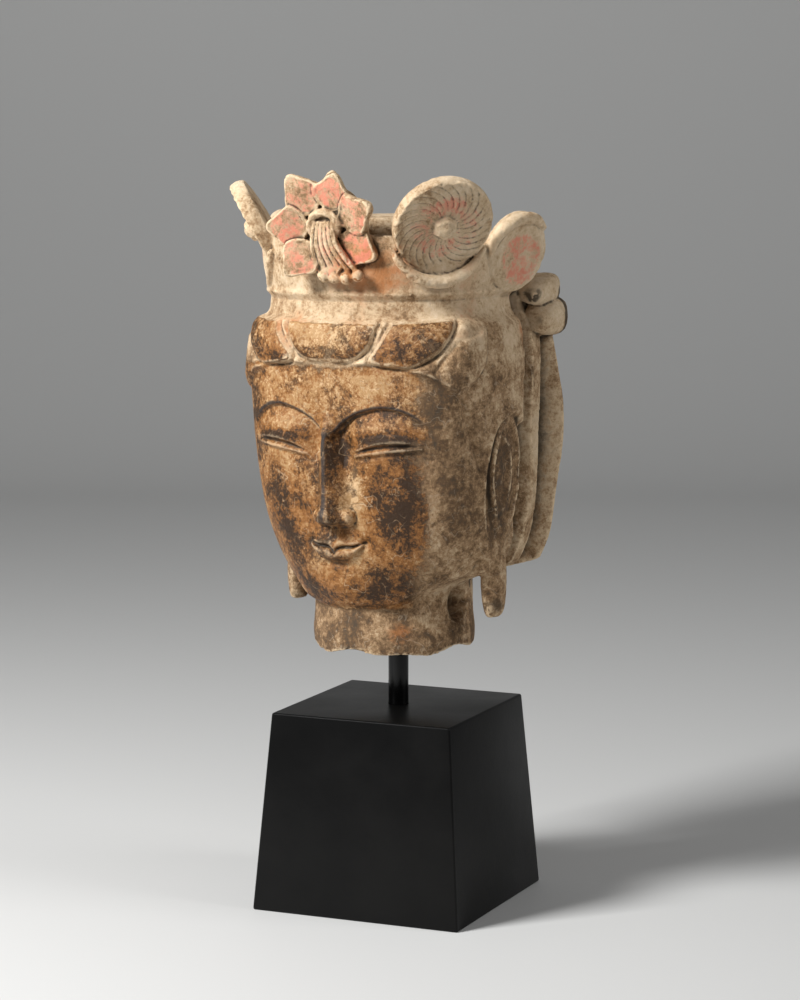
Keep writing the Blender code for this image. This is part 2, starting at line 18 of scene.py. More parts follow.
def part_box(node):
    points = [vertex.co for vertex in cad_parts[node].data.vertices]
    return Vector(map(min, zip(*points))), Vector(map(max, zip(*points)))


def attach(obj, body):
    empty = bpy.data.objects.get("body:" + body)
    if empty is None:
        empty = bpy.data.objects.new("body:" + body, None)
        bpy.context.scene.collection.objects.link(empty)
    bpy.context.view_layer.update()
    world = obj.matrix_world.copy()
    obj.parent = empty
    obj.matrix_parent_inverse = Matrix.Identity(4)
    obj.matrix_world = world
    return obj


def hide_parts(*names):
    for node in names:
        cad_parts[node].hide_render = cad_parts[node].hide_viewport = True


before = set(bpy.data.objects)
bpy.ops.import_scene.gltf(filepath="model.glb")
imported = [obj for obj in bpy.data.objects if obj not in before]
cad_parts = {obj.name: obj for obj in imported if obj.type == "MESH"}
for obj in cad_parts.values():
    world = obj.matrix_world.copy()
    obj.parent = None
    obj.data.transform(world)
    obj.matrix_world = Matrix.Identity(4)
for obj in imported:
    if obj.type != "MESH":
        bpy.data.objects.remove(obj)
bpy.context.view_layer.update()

# %% [markdown]
# ## Camera
#
# A camera can be set by eye, but then its perspective is a guess. Here its turn, height and lens
# were solved from the block's straight edges, so the same edges fall on the same places. The
# sensor's 36 mm lie along the long side of the upright picture.

# %% Camera at the photograph's angle
CAMERA_TURN = math.radians(23.586)
CAMERA_RISE = math.radians(7.719)
CAMERA_DISTANCE = 2.5887
CAMERA_LIFT = 0.3163
CAMERA_SHIFT = 0.0012
LENS = 116.35


def direction(turn, rise):
    """Points away from the middle, turn round from the front and rise above the floor."""
    return Vector((math.sin(turn) * math.cos(rise), -math.cos(turn) * math.cos(rise), math.sin(rise)))


camera_back = direction(CAMERA_TURN, CAMERA_RISE)
camera_right = Vector((math.cos(CAMERA_TURN), math.sin(CAMERA_TURN), 0))
camera_up = camera_back.cross(camera_right)
camera = bpy.data.objects.new("camera", bpy.data.cameras.new("camera"))
bpy.context.scene.collection.objects.link(camera)
camera.matrix_world = Matrix((camera_right, camera_up, camera_back)).transposed().to_4x4()
camera.location = camera_back * CAMERA_DISTANCE + camera_right * CAMERA_SHIFT + camera_up * CAMERA_LIFT
camera.data.lens = LENS
camera.data.sensor_width = 36
bpy.context.scene.camera = camera
print("camera at", tuple(round(c, 3) for c in camera.location))

# %% [markdown]
# ## Floor and light
#
# The stage is a pale floor that curves up into a wall far behind, so no horizon cuts the picture.
# One broad lamp to the left of the camera models the face, a weak one on the right keeps the side
# of the head readable, and the pale surroundings fill the rest.

# %% Stage
def plain_material(name, colour, roughness):
    result = bpy.data.materials.new(name)
    result.use_nodes = True
    shader = result.node_tree.nodes["Principled BSDF"]
    shader.inputs["Base Color"].default_value = (*colour, 1)
    shader.inputs["Roughness"].default_value = roughness
    return result


def as_mesh(bm, name):
    """The finished shape as a mesh."""
    mesh = bpy.data.meshes.new(name)
    bm.to_mesh(mesh)
    bm.free()
    return mesh


def sweep(depth=2.4, height=3.0, half_width=4.0, bend=0.9):
    """A floor that turns up into a back wall round the far side."""
    bm = bmesh.new()
    lower = [bm.verts.new((-half_width, -3.5, 0)), bm.verts.new((-half_width, depth, 0))]
    turns = np.linspace(0, math.pi / 2, 17)[1:]
    arc = [(depth + bend * math.sin(g), bend * (1 - math.cos(g))) for g in turns]
    arc.append((depth + bend, height))
    chain = lower + [bm.verts.new((-half_width, y, z)) for y, z in arc]
    edges = [bm.edges.new(pair) for pair in zip(chain, chain[1:])]
    made = bmesh.ops.extrude_edge_only(bm, edges=edges)["geom"]
    far_side = [g for g in made if isinstance(g, bmesh.types.BMVert)]
    bmesh.ops.translate(bm, verts=far_side, vec=(2 * half_width, 0, 0))
    bmesh.ops.rotate(bm, verts=bm.verts, cent=(0, 0, 0), matrix=Matrix.Rotation(CAMERA_TURN, 3, "Z"))
    bmesh.ops.recalc_face_normals(bm, faces=bm.faces)
    mesh = as_mesh(bm, "floor")
    mesh.shade_smooth()
    return mesh


floor = bpy.data.objects.new("floor", sweep())
floor.data.materials.append(plain_material("pale floor", (0.62, 0.62, 0.61), 0.6))
bpy.context.scene.collection.objects.link(floor)


def lamp(name, turn, rise, distance, size, power, target=(0, 0, 0.38)):
    """A square lamp at an angle round the object, aimed at the head."""
    light = bpy.data.lights.new(name, "AREA")
    light.size = size
    light.energy = power
    result = bpy.data.objects.new(name, light)
    away = direction(turn, rise)
    result.location = Vector(target) + away * distance
    result.rotation_euler = away.to_track_quat("Z", "Y").to_euler()
    bpy.context.scene.collection.objects.link(result)
    return result


lamp("key lamp", CAMERA_TURN - math.radians(58), math.radians(36), 1.9, 0.55, 62)
lamp("side lamp", CAMERA_TURN + math.radians(70), math.radians(30), 2.4, 1.0, 17)
world = bpy.data.worlds.new("soft surroundings")
world.use_nodes = True
world.node_tree.nodes["Background"].inputs["Color"].default_value = (0.75, 0.76, 0.78, 1)
world.node_tree.nodes["Background"].inputs["Strength"].default_value = 0.15
bpy.context.scene.world = world
bpy.context.scene.view_settings.view_transform = "Standard"
print("stage set")

# %% [markdown]
# ## How the carving is set out
#
# A carver starts from a block with a plan drawn on it and works inwards. The same is done here: a
# blank is turned, and every point of it is then moved in or out by rules. A place on the head is
# given as (t, h), with t a hundred times the angle from the front and h the height in shares of
# the stone, 386 to its full height. Smooth curves through a few heights draw every form.

# %% Shares, and small drawing tools
STONE_HEIGHT = 0.386
SHARE = STONE_HEIGHT / 386
STONE_TURN = math.radians(-12.4)
STONE_TILT = math.radians(-1.0)
NECK_FOOT = 8
NECK_BOTTOM = 0.2045
STONE_ZERO = NECK_BOTTOM - NECK_FOOT * SHARE


def flow(x, knots, values):
    """A smooth curve through the given points, flat beyond its ends."""
    knots, values = np.asarray(knots, float), np.asarray(values, float)
    slope = np.gradient(values, knots)
    x = np.clip(x, knots[0], knots[-1])
    k = np.clip(np.searchsorted(knots, x, side="right") - 1, 0, len(knots) - 2)
    span = knots[k + 1] - knots[k]
    s = (x - knots[k]) / span
    start = values[k] * (1 + 2 * s) * (1 - s) ** 2 + slope[k] * span * s * (1 - s) ** 2
    end = values[k + 1] * s * s * (3 - 2 * s) + slope[k + 1] * span * s * s * (s - 1)
    return start + end


def ease(x):
    """A soft step from 0 to 1."""
    x = np.clip(x, 0, 1)
    return x * x * (3 - 2 * x)


def bump(x):
    return np.exp(-x * x)


def within(x, low, high, soft):
    return ease((x - low) / soft + 0.5) * ease((high - x) / soft + 0.5)


def line_distance(t, h, points):
    """Distance from each place to a bent line."""
    nearest = np.full(np.shape(t), 1e6)
    for (t0, h0), (t1, h1) in zip(points, points[1:]):
        dt, dh = t1 - t0, h1 - h0
        k = np.clip(((t - t0) * dt + (h - h0) * dh) / (dt * dt + dh * dh), 0, 1)
        nearest = np.minimum(nearest, np.hypot(t - t0 - k * dt, h - h0 - k * dh))
    return nearest


def rounded(points, steps=8):
    """The bent line drawn as a smooth one."""
    along = np.arange(len(points))
    fine = np.linspace(0, len(points) - 1, steps * (len(points) - 1) + 1)
    return list(zip(flow(fine, along, [p[0] for p in points]), flow(fine, along, [p[1] for p in points])))


print("one share is", SHARE * 1000, "mm")

# %% [markdown]
# ## Plan of the head
#
# Seen from above the head is neither round nor square. A superellipse, a circle with its power
# raised, gives the flat front and full cheeks, and its size and squareness change with the height:
# a narrow jaw, broad cheeks, a puff of hair, and the upright band of the crown.

# %% Plan at each height
PLAN_HEIGHTS = (40, 50, 60, 71, 80, 99, 110, 150, 185, 215, 240, 258, 266, 271, 292, 304, 330)
HALF_WIDTH = (74, 77, 80, 87, 92.5, 100, 102, 105.5, 106.5, 108, 108, 106, 103.5, 99, 98.5, 101, 104)
DEPTH_FRONT = (68, 72, 76.5, 79, 81, 83, 84, 88, 91, 92.5, 93, 92.5, 91, 88.5, 88.5, 91, 94)
DEPTH_BEHIND = (70, 74, 79, 84, 88, 94, 96, 100, 102, 103.5, 104, 104, 102.5, 99, 98.5, 99.5, 102)
SQUARENESS = (2.0, 2.0, 2.0, 2.05, 2.1, 2.25, 2.4, 2.7, 2.8, 2.8, 2.6, 2.5, 2.4, 2.3, 2.2, 2.2, 2.2)
BACK_SQUARENESS = 2.15


def plan(angle, height):
    across, front, behind, square = (
        flow(height, PLAN_HEIGHTS, values) for values in (HALF_WIDTH, DEPTH_FRONT, DEPTH_BEHIND, SQUARENESS)
    )
    ahead = np.cos(angle)
    depth = np.where(ahead > 0, front, behind)
    power = np.where(ahead > 0, square, BACK_SQUARENESS)
    return (np.abs(np.sin(angle) / across) ** power + np.abs(ahead / depth) ** power) ** (-1 / power)


def middle(h):
    """The face leans a little: its middle line drifts to the head's left lower down."""
    return flow(h, (40, 62, 100, 118, 185, 250), (7, 6, 4.0, 4.8, 2.8, 5))


print("half width at the cheeks", float(plan(np.array(math.pi / 2), np.array(150.0))))

# %% [markdown]
# ## Face
#
# The face is the calm, idealised one of its period and is the same on both sides of its middle
# line. The brow is one sharp edge that runs down into the ridge of the nose; under it the lids
# swell and close to a slit. The nose is a wedge with a rounded tip, and the mouth is small and full.

# %% Brow, lids and eyes
BROW = ((0, 6, 14, 22, 38, 52, 67, 80, 90), (182, 185, 192, 197, 203, 205, 201.5, 193, 184))
EYE_PLACES = (24, 38, 50, 62, 78)
LID_LOWER = (168.6, 170.8, 172.6, 174, 175.6)
LID_UPPER = (168.9, 174.6, 177.4, 178.2, 176.2)


def eyes(a, h):
    below = flow(a, *BROW) - h
    hollow = flow(a, (0, 3, 6, 12, 25, 50, 78, 90), (0, 2.5, 6, 8, 6, 4.2, 2.4, 0))
    relief = -hollow * ease(below / 1.8) * np.exp(-np.clip(below, 0, None) / 16)
    relief += 0.5 * bump((below + 1.6) / 1.6) * within(a, 4, 84, 10)
    relief += 4.5 * bump((a - 52) / 27) * bump((h - 184) / 13) * ease(below / 4)
    relief -= 4.0 * bump((a - 18) / 8) * bump((h - 173) / 15)
    inside = within(a, 24, 79, 3)
    upper, lower = flow(a, EYE_PLACES, LID_UPPER), flow(a, EYE_PLACES, LID_LOWER)
    slit = ease((upper - h) / 1.1) * ease((h - lower) / 0.9)
    ball = 1.0 * bump((a - 50) / 20) * bump((h - (upper + lower) / 2) / 3)
    relief += inside * slit * (ball - 3.2)
    relief += 1.0 * inside * bump((h - upper - 1.2) / 1.2)
    relief += 1.7 * inside * bump((h - lower + 1.6) / 1.4)
    relief -= 1.1 * within(a, 27, 74, 6) * bump((h - lower + 4.8) / 1.5)
    crease = flow(a, (30, 50, 66, 84), (180.5, 185, 185, 180))
    relief -= 0.8 * within(a, 34, 84, 8) * bump((h - crease) / 1.1)
    return relief


# %% Nose
NOSE_HEIGHT = (
    (109, 111.5, 113.5, 116, 120, 128, 141, 160, 176, 188, 200),
    (0, 0.6, 9, 16.5, 18.5, 17, 14.5, 11.5, 9.5, 5.5, 0),
)


def nose(a, h):
    height = flow(h, *NOSE_HEIGHT)
    foot = flow(h, (104, 112, 118, 128, 150, 175, 190), (17, 19, 20, 18, 16, 12, 8))
    crest = flow(h, (110, 118, 130, 160, 190), (5, 4.5, 2.4, 1.8, 1.8))
    ridge = height * np.clip((foot - a) / (foot - crest), 0, 1) ** 1.1
    ridge += 2.0 * bump(np.hypot(a, h - 120) / 6)
    round_wing = np.hypot((a - 13.5) / 8, (h - 119.5) / 7)
    wing = 9.5 * np.sqrt(np.clip(1 - round_wing ** 2, 0, 1))
    relief = (ridge + wing + np.hypot(ridge - wing, 1.5) - 1.5) / 2
    relief -= 1.3 * bump((round_wing - 1.15) / 0.13) * ease((a - 16) / 5)
    relief -= 1.4 * bump((round_wing - 1.05) / 0.16) * within(a, 6, 12, 4) * ease((h - 116) / 5)
    relief -= 3.0 * bump(np.hypot((a - 10) / 4.5, (h - 113) / 1.8))
    return relief


# %% Mouth and chin
MOUTH_DROP = 2
SEAM = ((0, 3.5, 9, 18, 30), (93.2, 96.4, 98.0, 98.6, 102))
LIP_FOOT = ((0, 10, 19, 28), (87.4, 87.6, 91.0, 99.0))


def mouth(a, h):
    h = h + MOUTH_DROP
    seam, foot = flow(a, *SEAM), flow(a, *LIP_FOOT)
    top = flow(a, (0, 5, 16, 30), (102.2, 105.4, 103.8, 102.4))
    relief = 3.5 * bump(a / 27) * bump((h - 97) / 13)
    upper = np.clip((h - seam) / np.maximum(top - seam, 0.5), 0, 1)
    lower = np.clip((seam - h) / np.maximum(seam - foot, 0.5), 0, 1)
    relief += within(a, -40, 29, 3) * (9 * upper * (1 - upper) + 15 * lower * (1 - lower))
    relief -= 3.6 * bump((h - seam) / 1.0) * within(a, -40, 31, 5)
    relief -= 3.0 * bump(np.hypot(a - 31, h - 101.5) / 4.5)
    relief -= 3.2 * bump(a / 17) * bump((h - 84.5) / 3)
    relief -= 1.8 * bump(a / 2.4) * within(h, 104, 115, 3)
    relief += 1.0 * bump((a - 4.6) / 1.7) * within(h, 105, 113, 3)
    relief += 3.0 * bump(a / 22) * bump((h - 66) / 11)
    return relief


print("face rules ready")

# %% [markdown]
# ## Hair, ears, ribbons and neck
#
# The hair sweeps back in flat locks with a cut line round each, and a groove at the temple parts it
# from the cheek. The ear is a long almond with a raised rim round a sunk middle. Behind it two
# ribbons hang with deep gaps. Under the jaw the stone steps back to the neck, which ends in a break.

# %% Locks of hair
HAIR_MIDDLE = 8
HAIRLINE = ((0, 25, 39, 65, 83, 98, 118, 135), (235.5, 237, 236.5, 232, 225, 214, 222, 205))
LOCKS = [
    rounded([(-44, 268), (-37, 250), (-23, 239.5), (0, 238), (23, 239.5), (37, 250), (44, 268)]),
    rounded([
        (51, 268), (41, 251), (35, 241), (43, 236), (56, 234.5), (68, 235), (82, 242), (92, 252), (104, 270),
    ]),
    rounded([(98, 252), (85, 236), (83, 229), (91, 220), (100, 217), (118, 227), (126, 240), (129, 262)]),
]
LOCK_DEPTHS = (3.2, 3.2, 1.6)
TEMPLE = rounded([(110, 210), (112, 200), (117, 180), (126, 155)])


def inside_outline(t, h, points):
    """1 where a place lies inside the closed line, else 0."""
    inside = np.zeros(np.shape(t), bool)
    for (t0, h0), (t1, h1) in zip(points, points[1:] + points[:1]):
        crosses = (h0 > h) != (h1 > h)
        inside ^= crosses & (t < t0 + (h - h0) * (t1 - t0) / (h1 - h0 if h1 != h0 else 1e-9))
    return inside.astype(float)


def hair_place(t):
    """Place across the hair, measured from its own middle and the same on both sides."""
    a = np.abs(t - HAIR_MIDDLE)
    return np.where(t > HAIR_MIDDLE, a, a - 6 * ease((a - 30) / 40))


def hair(t, h):
    a = hair_place(t)
    brim = flow(a, *HAIRLINE)
    relief = 3.6 * ease((h - brim + 1) / 4) * within(a, -150, 112, 14) * ease((272 - h) / 3)
    relief += 1.2 * bump((h - brim - 2) / 2.2) * within(a, -150, 100, 10)
    for depth, lock in zip(LOCK_DEPTHS, LOCKS):
        near = line_distance(a, h, lock)
        swell = inside_outline(a, h, lock) * ease(near / 9)
        relief += (1.6 * swell - depth * bump(near / 1.6)) * ease((273 - h) / 4)
    relief -= 2.6 * bump(line_distance(np.abs(t - 1), h, TEMPLE) / 3.0)
    return relief


# %% Ears
EAR = (164, 138, 31, 59)
HELIX = (162, 148, 20, 43)
SHELL = (154, 149, 13.5, 28)
STRIP = ((30, 57, 96, 130), (150, 152, 150, 148))


def oval(a, h, middle_t, middle_h, half_wide, half_tall):
    """1 on the edge of an upright oval, less inside it."""
    return np.hypot((a - middle_t) / half_wide, (h - middle_h) / half_tall)


def ears(t, h):
    """A sunk almond with two raised ridges in it, and the strip that leads down to the lobe."""
    a = np.abs(t)
    relief = -5.0 * ease((1 - oval(a, h, *EAR)) / 0.08) * ease((h - 88) / 30)
    relief += 0.8 * bump((oval(a, h, *EAR) - 1.05) / 0.05) * ease((h - 100) / 20)
    relief += 2.8 * bump((oval(a, h, *HELIX) - 1) / 0.12) * ease((h - 98) / 20)
    relief += 3.0 * bump((oval(a, h, *SHELL) - 1) / 0.2)
    groove = bump((oval(a, h, *HELIX) - 0.82) / 0.05)
    relief += 1.2 * bump(oval(a, h, SHELL[0], SHELL[1], 5, 17)) - 0.9 * groove
    strip = flow(h, *STRIP)
    relief -= 2.2 * bump((a - strip + 16) / 3) * within(h, 50, 84, 12)
    relief += 7.0 * within(a - strip, -13, 13, 9) * ease((104 - h) / 36) * ease((h - 40) / 5)
    return relief


# %% Ribbons
GAP = ((50, 90, 140, 188, 258, 300), (181, 184, 187, 186, 188, 188))
RIBBON_RELIEF = ((60, 120, 187, 240, 262), (22, 21, 25, 17, 14))


def ribbons(t, h):
    """Two flat bands that hang behind each ear, with a deep gap before each."""
    s = np.abs(t) - flow(h, *GAP)
    first = (2.5 + 3.5 * ease((s - 4) / 16)) * within(s, 4, 21, 2) * ease((h - 56) / 2)
    second = flow(h, *RIBBON_RELIEF) * within(s, 28, 56, 4) * ease((h - 64) / 2)
    second -= 0.9 * bump((s - 46) / 1.4) * within(h, 70, 240, 20)
    gaps = (12 * within(s, -4, 4.5, 3) + 6 * within(s, 21, 28, 2.5)) * ease((h - 50) / 20)
    return (first + second - gaps) * ease((288 - h) / 6)


# %% Jaw, neck and the whole outline
NECK_RADIUS = 62
NECK_AHEAD = 5
NECK_PIT = (150, 46, 14, 10)
PIT_DEPTH = 17


def jaw(t):
    """Height of the ledge where the head meets the neck."""
    return flow(np.abs(t - 4), (0, 30, 60, 100, 150, 200, 314), (43.5, 43.5, 45.5, 54, 59, 60, 66))


def outline(angle, h):
    """Distance of the carved surface from the stone's axis."""
    t = 100 * angle
    a = np.abs(t - middle(h))
    face = (eyes(a, h) + nose(a, h) + mouth(a, h)) * ease((115 - a) / 15)
    head = plan(angle, h) + face + hair(t, h) + ears(t, h) + ribbons(t, h)
    head += 1.6 * bump((h - 290) / 2.2) - 1.2 * bump((h - 285) / 2.2)
    neck = NECK_AHEAD * np.cos(angle) + NECK_RADIUS + 1.5 * bump((h - 20) / 14)
    neck -= PIT_DEPTH * ease(1.6 - oval(t, h, *NECK_PIT))
    soft = 7 + 10 * ease((np.abs(t) - 55) / 45)
    return neck + (head - neck) * ease((h - jaw(t)) / soft)


def broken_edge(angle, radius):
    """How far the break lifts the neck's underside."""
    wave = 3 - np.cos(2 * angle - 1.3) + 1.6 * np.sin(5 * angle + 0.6) + 1.2 * np.sin(9 * angle + 1.4)
    return np.clip(wave, 0, None) + 3 * (1 - radius / BLANK_RADIUS)


print("outline at the nose tip", float(outline(np.array(0.04), np.array(118.0))))

# %% [markdown]
# ## The blank and its carving
#
# A closed profile, spun round the upright axis, gives a blank with the crown's wall, the floor
# inside it and the topknot. Spinning keeps the columns of points even, so a rule that moves them
# meets a fine, regular grid wherever the chisel has to go deep.

# %% Turned blank, carved
COLUMNS = 124
COLUMN_PARTS = 5
ROW = 1.0
BLANK_RADIUS = 100
WALL_TOP = 326
WALL_RISE = 9
WALL_THICKNESS = 15
CROWN_FLOOR = 308
TOPKNOT_RADIUS = 60
TOPKNOT_TOP = 346


def turned(profile, steps, finer=1):
    """A closed body turned round Z; finer divides each step of the turn once more."""
    bm = bmesh.new()
    corners = [bm.verts.new((radius, 0, height)) for radius, height in profile]
    edges = [bm.edges.new(pair) for pair in zip(corners, corners[1:])]
    bmesh.ops.spin(
        bm, geom=corners + edges, cent=(0, 0, 0), axis=(0, 0, 1), angle=math.tau, steps=steps, use_merge=True
    )
    bmesh.ops.remove_doubles(bm, verts=bm.verts, dist=1e-4)
    if finer > 1:
        round_edges = [e for e in bm.edges if is_round_edge(*(v.co for v in e.verts))]
        bmesh.ops.subdivide_edges(bm, edges=round_edges, cuts=finer - 1)
    bmesh.ops.recalc_face_normals(bm, faces=bm.faces)
    return bm


def is_round_edge(a, b):
    """Whether an edge of a turned body runs round it."""
    return abs(a.z - b.z) < 1e-4 and abs(a.xy.length - b.xy.length) < 1e-3 and a.xy.length > 1e-3


def line(start, end, step):
    """Evenly spaced profile points, without the last."""
    count = max(1, round(math.dist(start, end) / step))
    return [tuple(np.array(start) + (np.array(end) - start) * k / count) for k in range(count)]


def points_of(mesh):
    points = np.empty(3 * len(mesh.vertices))
    mesh.vertices.foreach_get("co", points)
    return points.reshape(-1, 3)


def shaped(bm, rule):
    """Moves all points of a body by a rule on their coordinates, and gives it back as a mesh."""
    mesh = as_mesh(bm, "carving")
    mesh.vertices.foreach_set("co", np.stack(rule(*points_of(mesh).T), axis=1).ravel())
    mesh.update()
    return mesh


def carved_core():
    """Neck, head, crown wall and topknot."""
    inner = BLANK_RADIUS - WALL_THICKNESS
    wall = line((BLANK_RADIUS, NECK_FOOT), (BLANK_RADIUS, WALL_TOP), ROW)
    corners = [
        (BLANK_RADIUS, WALL_TOP), (inner, WALL_TOP), (inner - 3, CROWN_FLOOR),
        (TOPKNOT_RADIUS + 2, CROWN_FLOOR), (TOPKNOT_RADIUS, TOPKNOT_TOP - 8),
        (TOPKNOT_RADIUS - 10, TOPKNOT_TOP), (0, TOPKNOT_TOP),
    ]
    profile = line((0, NECK_FOOT), (BLANK_RADIUS, NECK_FOOT), 3 * ROW) + wall
    profile += [point for pair in zip(corners, corners[1:]) for point in line(*pair, 2 * ROW)] + [corners[-1]]

    def rule(x, y, z):
        angle, radius = np.arctan2(x, -y), np.hypot(x, y)
        whole = outline(angle, np.clip(z, 0, WALL_TOP))
        inside = plan(angle, np.clip(z, CROWN_FLOOR, WALL_TOP))
        outer = (z < WALL_TOP - 0.5) & (radius > BLANK_RADIUS - 0.5) | (z < NECK_FOOT + 1)
        reach = radius / BLANK_RADIUS * np.where(outer, whole, inside)
        rise = z + broken_edge(angle, radius) * ease((NECK_FOOT + 24 - z) / 24)
        rise += WALL_RISE * ease((z - 310) / 16) * ease((radius - inner + 4) / 3) * ease(1.5 - np.abs(angle))
        return reach * np.sin(angle), -reach * np.cos(angle), rise

    return shaped(turned(profile, COLUMNS, COLUMN_PARTS), rule)


# %% [markdown]
# ## Ornaments of the crown
#
# Each ornament is made lying flat, with X across, Y up and Z outwards, and is then seated on the
# wall at its angle, reach, height and lean. A wheel is turned, and each of its curved flutes rises
# slowly and drops at once, like the edge of a laid leaf. Petals, strands, folds and ear lobes start
# as spheres: a petal is flattened and hollowed, and a pod is a sphere drawn out along a path.

# %% Seats and pods
def seat(angle, reach, height, lean=0):
    """Frame on the crown: X runs along the wall to the head's left, Y up the lean, Z outwards."""
    turn = Matrix.Rotation(math.radians(angle), 4, "Z") @ Matrix.Translation((0, -reach, height))
    return turn @ Matrix.Rotation(math.radians(90 + lean), 4, "X")


def turn_about(axis, degrees):
    return Matrix.Rotation(math.radians(degrees), 4, axis)


def mirrored(side):
    return Matrix.Diagonal((side, 1, 1, 1))


def pod(path, half_wide, half_deep, sides=20, rings=36, blunt=0.5, square=2.0):
    """A round-ended body along a path of (x, y, z) points; square over 2 gives it corners."""
    bm = bmesh.new()
    bmesh.ops.create_uvsphere(bm, u_segments=sides, v_segments=rings, radius=1)
    count = np.arange(len(path))

    def on_path(s):
        return np.stack([flow(s * count[-1], count, [p[k] for p in path]) for k in range(3)])

    def rule(x, y, z):
        s = (z + 1) / 2
        along = on_path(s + 0.01) - on_path(s - 0.01)
        along /= np.linalg.norm(along, axis=0)
        side = np.stack([along[1], -along[0], 0 * s])
        side /= np.maximum(np.linalg.norm(side, axis=0), 1e-6)
        out = np.cross(side, along, axis=0)
        ring = np.maximum(np.hypot(x, y), 1e-6)
        u, v = x / ring, y / ring
        corner = np.maximum(np.abs(u) ** square + np.abs(v) ** square, 1e-6)
        full = ring ** blunt * corner ** (-1 / square)
        wide = flow(s * (len(half_wide) - 1), np.arange(len(half_wide)), half_wide)
        deep = flow(s * (len(half_deep) - 1), np.arange(len(half_deep)), half_deep)
        return tuple(on_path(s) + side * u * full * wide + out * v * full * deep)

    return shaped(bm, rule)


# %% Wheels with curved flutes, over crescents
WHEEL_ANGLE = 55.5
WHEEL_REACH = 107.5
WHEEL_HEIGHT = 342
WHEEL_LEAN = 30
WHEEL_RADIUS = 38.5
WHEEL_THICKNESS = 15
FLUTES = 26
CRESCENT_RADIUS = 43.5


def wheel_seat(side):
    reach, height = WHEEL_REACH + 5 * side, WHEEL_HEIGHT + 2 * side
    return seat(side * WHEEL_ANGLE, reach, height, WHEEL_LEAN) @ mirrored(side)


def flute_phase(reach, angle):
    """Runs from 0 to 1 across each flute; the flutes bend more and more towards the edge."""
    return (FLUTES * (angle - 0.75 * reach ** 2.4) / math.tau) % 1


def wheel():
    half = WHEEL_THICKNESS / 2
    rim = ((1, -0.45), (1.02, 0), (1.01, 0.5), (0.995, 0.82), (0.97, 1))
    edge = [(WHEEL_RADIUS * share, half * rise) for share, rise in rim]
    face = line((0.97 * WHEEL_RADIUS, half), (0, half + 1), 0.8) + [(0, half + 1)]
    back = line((0, -half), (0.9 * WHEEL_RADIUS, -half), 3) + [(0.96 * WHEEL_RADIUS, -0.85 * half)]

    def rule(x, y, z):
        reach, angle = np.hypot(x, y) / WHEEL_RADIUS, np.arctan2(y, x)
        phase = flute_phase(reach, angle)
        flute = (1.7 * phase * ease((1 - phase) / 0.16) - 0.7) * within(reach, 0.26, 1.1, 0.1)
        dish = -2.2 * within(reach, 0.1, 0.99, 0.1)
        knob = 5.5 * ease((0.25 - reach * (1 + 0.05 * np.cos(6 * angle))) / 0.06)
        return x, y, z + (dish + knob + flute) * (z > 0)

    return shaped(turned(back + edge + face, 12 * FLUTES), rule)


def wheels(put):
    for side in (-1, 1):
        put(wheel(), wheel_seat(side))
        arc = [
            (CRESCENT_RADIUS * math.sin(g), -CRESCENT_RADIUS * math.cos(g), 24 * math.cos(g) - 10)
            for g in np.radians(range(-64, 62, 25))
        ]
        put(pod(arc, (3, 4, 4.5, 4.5, 4, 2.5), (4, 5, 6, 6, 5, 4), 20, 60), wheel_seat(side))


# %% Lotus with strands
FLOWER_ANGLE = 4.8
FLOWER_REACH = 95
FLOWER_HEIGHT = 340.5
FLOWER_LEAN = 6
FLOWER_TURN = 5
PETALS = 7
FIRST_PETAL = 16
PETAL_START = 14
PETAL_LENGTH = 30
PETAL_HALF = 16.5
PETAL_SHARES = (0.84, 0.95, 0.98, 0.72, 0.95, 1.0, 1.06)
PETAL_BENDS = (-2, 6, -2, 6, 8, 6, -2)
PETAL_LIFTS = (1.5, 1.5, 1.5, 3, 7, 1.5, 1.5)
PETAL_PINKS = (0.9, 0.7, 0.95, 0.6, 0.9, 0.95, 0.75)
PETAL_THICKNESS = 8
ARCH_RADIUS = 12.5
STRANDS = 6
KNOBS = 4
KNOB_RADIUS = 4.9


def flower_seat():
    return seat(FLOWER_ANGLE, FLOWER_REACH, FLOWER_HEIGHT, FLOWER_LEAN) @ turn_about("Y", FLOWER_TURN)


def petal_seat(k):
    place = flower_seat() @ turn_about("Z", -FIRST_PETAL - k * 360 / PETALS)
    place = place @ Matrix.Translation((0, PETAL_START, PETAL_LIFTS[k]))
    return place @ turn_about("X", PETAL_BENDS[k])


def petal_width(y):
    """Half width of a petal from its root, y = -1, to its tip, y = 1."""
    return PETAL_HALF * (1 - np.where(y > 0, 0.5, 0.25) * np.abs(y) ** 1.5)


def petal(length=PETAL_LENGTH, half=PETAL_HALF, thick=PETAL_THICKNESS):
    """A hollowed petal from the flower's middle outwards along Y, drawn to a point."""
    bm = bmesh.new()
    bmesh.ops.create_uvsphere(bm, u_segments=56, v_segments=40, radius=1)

    def rule(x, y, z):
        tip = ease((y + 1) / 2)
        across = x * half / PETAL_HALF * petal_width(y)
        along = length * (y + 1) / 2 + 4.0 * ease((y - 0.55) / 0.45)
        inside = np.hypot(x, y)
        cup = 1.3 * ease((0.92 - inside) / 0.1) + 1.0 * ease((0.8 - np.hypot(x, y + 0.15)) / 0.8)
        lift = np.sign(z) * np.abs(z) ** 0.45 * thick / 2 * (1 + 0.35 * tip)
        return across, along, lift - cup * (z > 0) + 2.4 * tip

    return shaped(bm, rule)


def as_made(x, y, z):
    return x, y, z


def ball(place, radius):
    bm = bmesh.new()
    bmesh.ops.create_icosphere(bm, subdivisions=3, radius=radius, matrix=Matrix.Translation(place))
    return shaped(bm, as_made)


def strand_path(k):
    return [(-7 + 2.8 * k, 6, 6), (-8 + 4.1 * k, -12, 9.5), (-6 + 6.6 * k, -34, 6.5)]


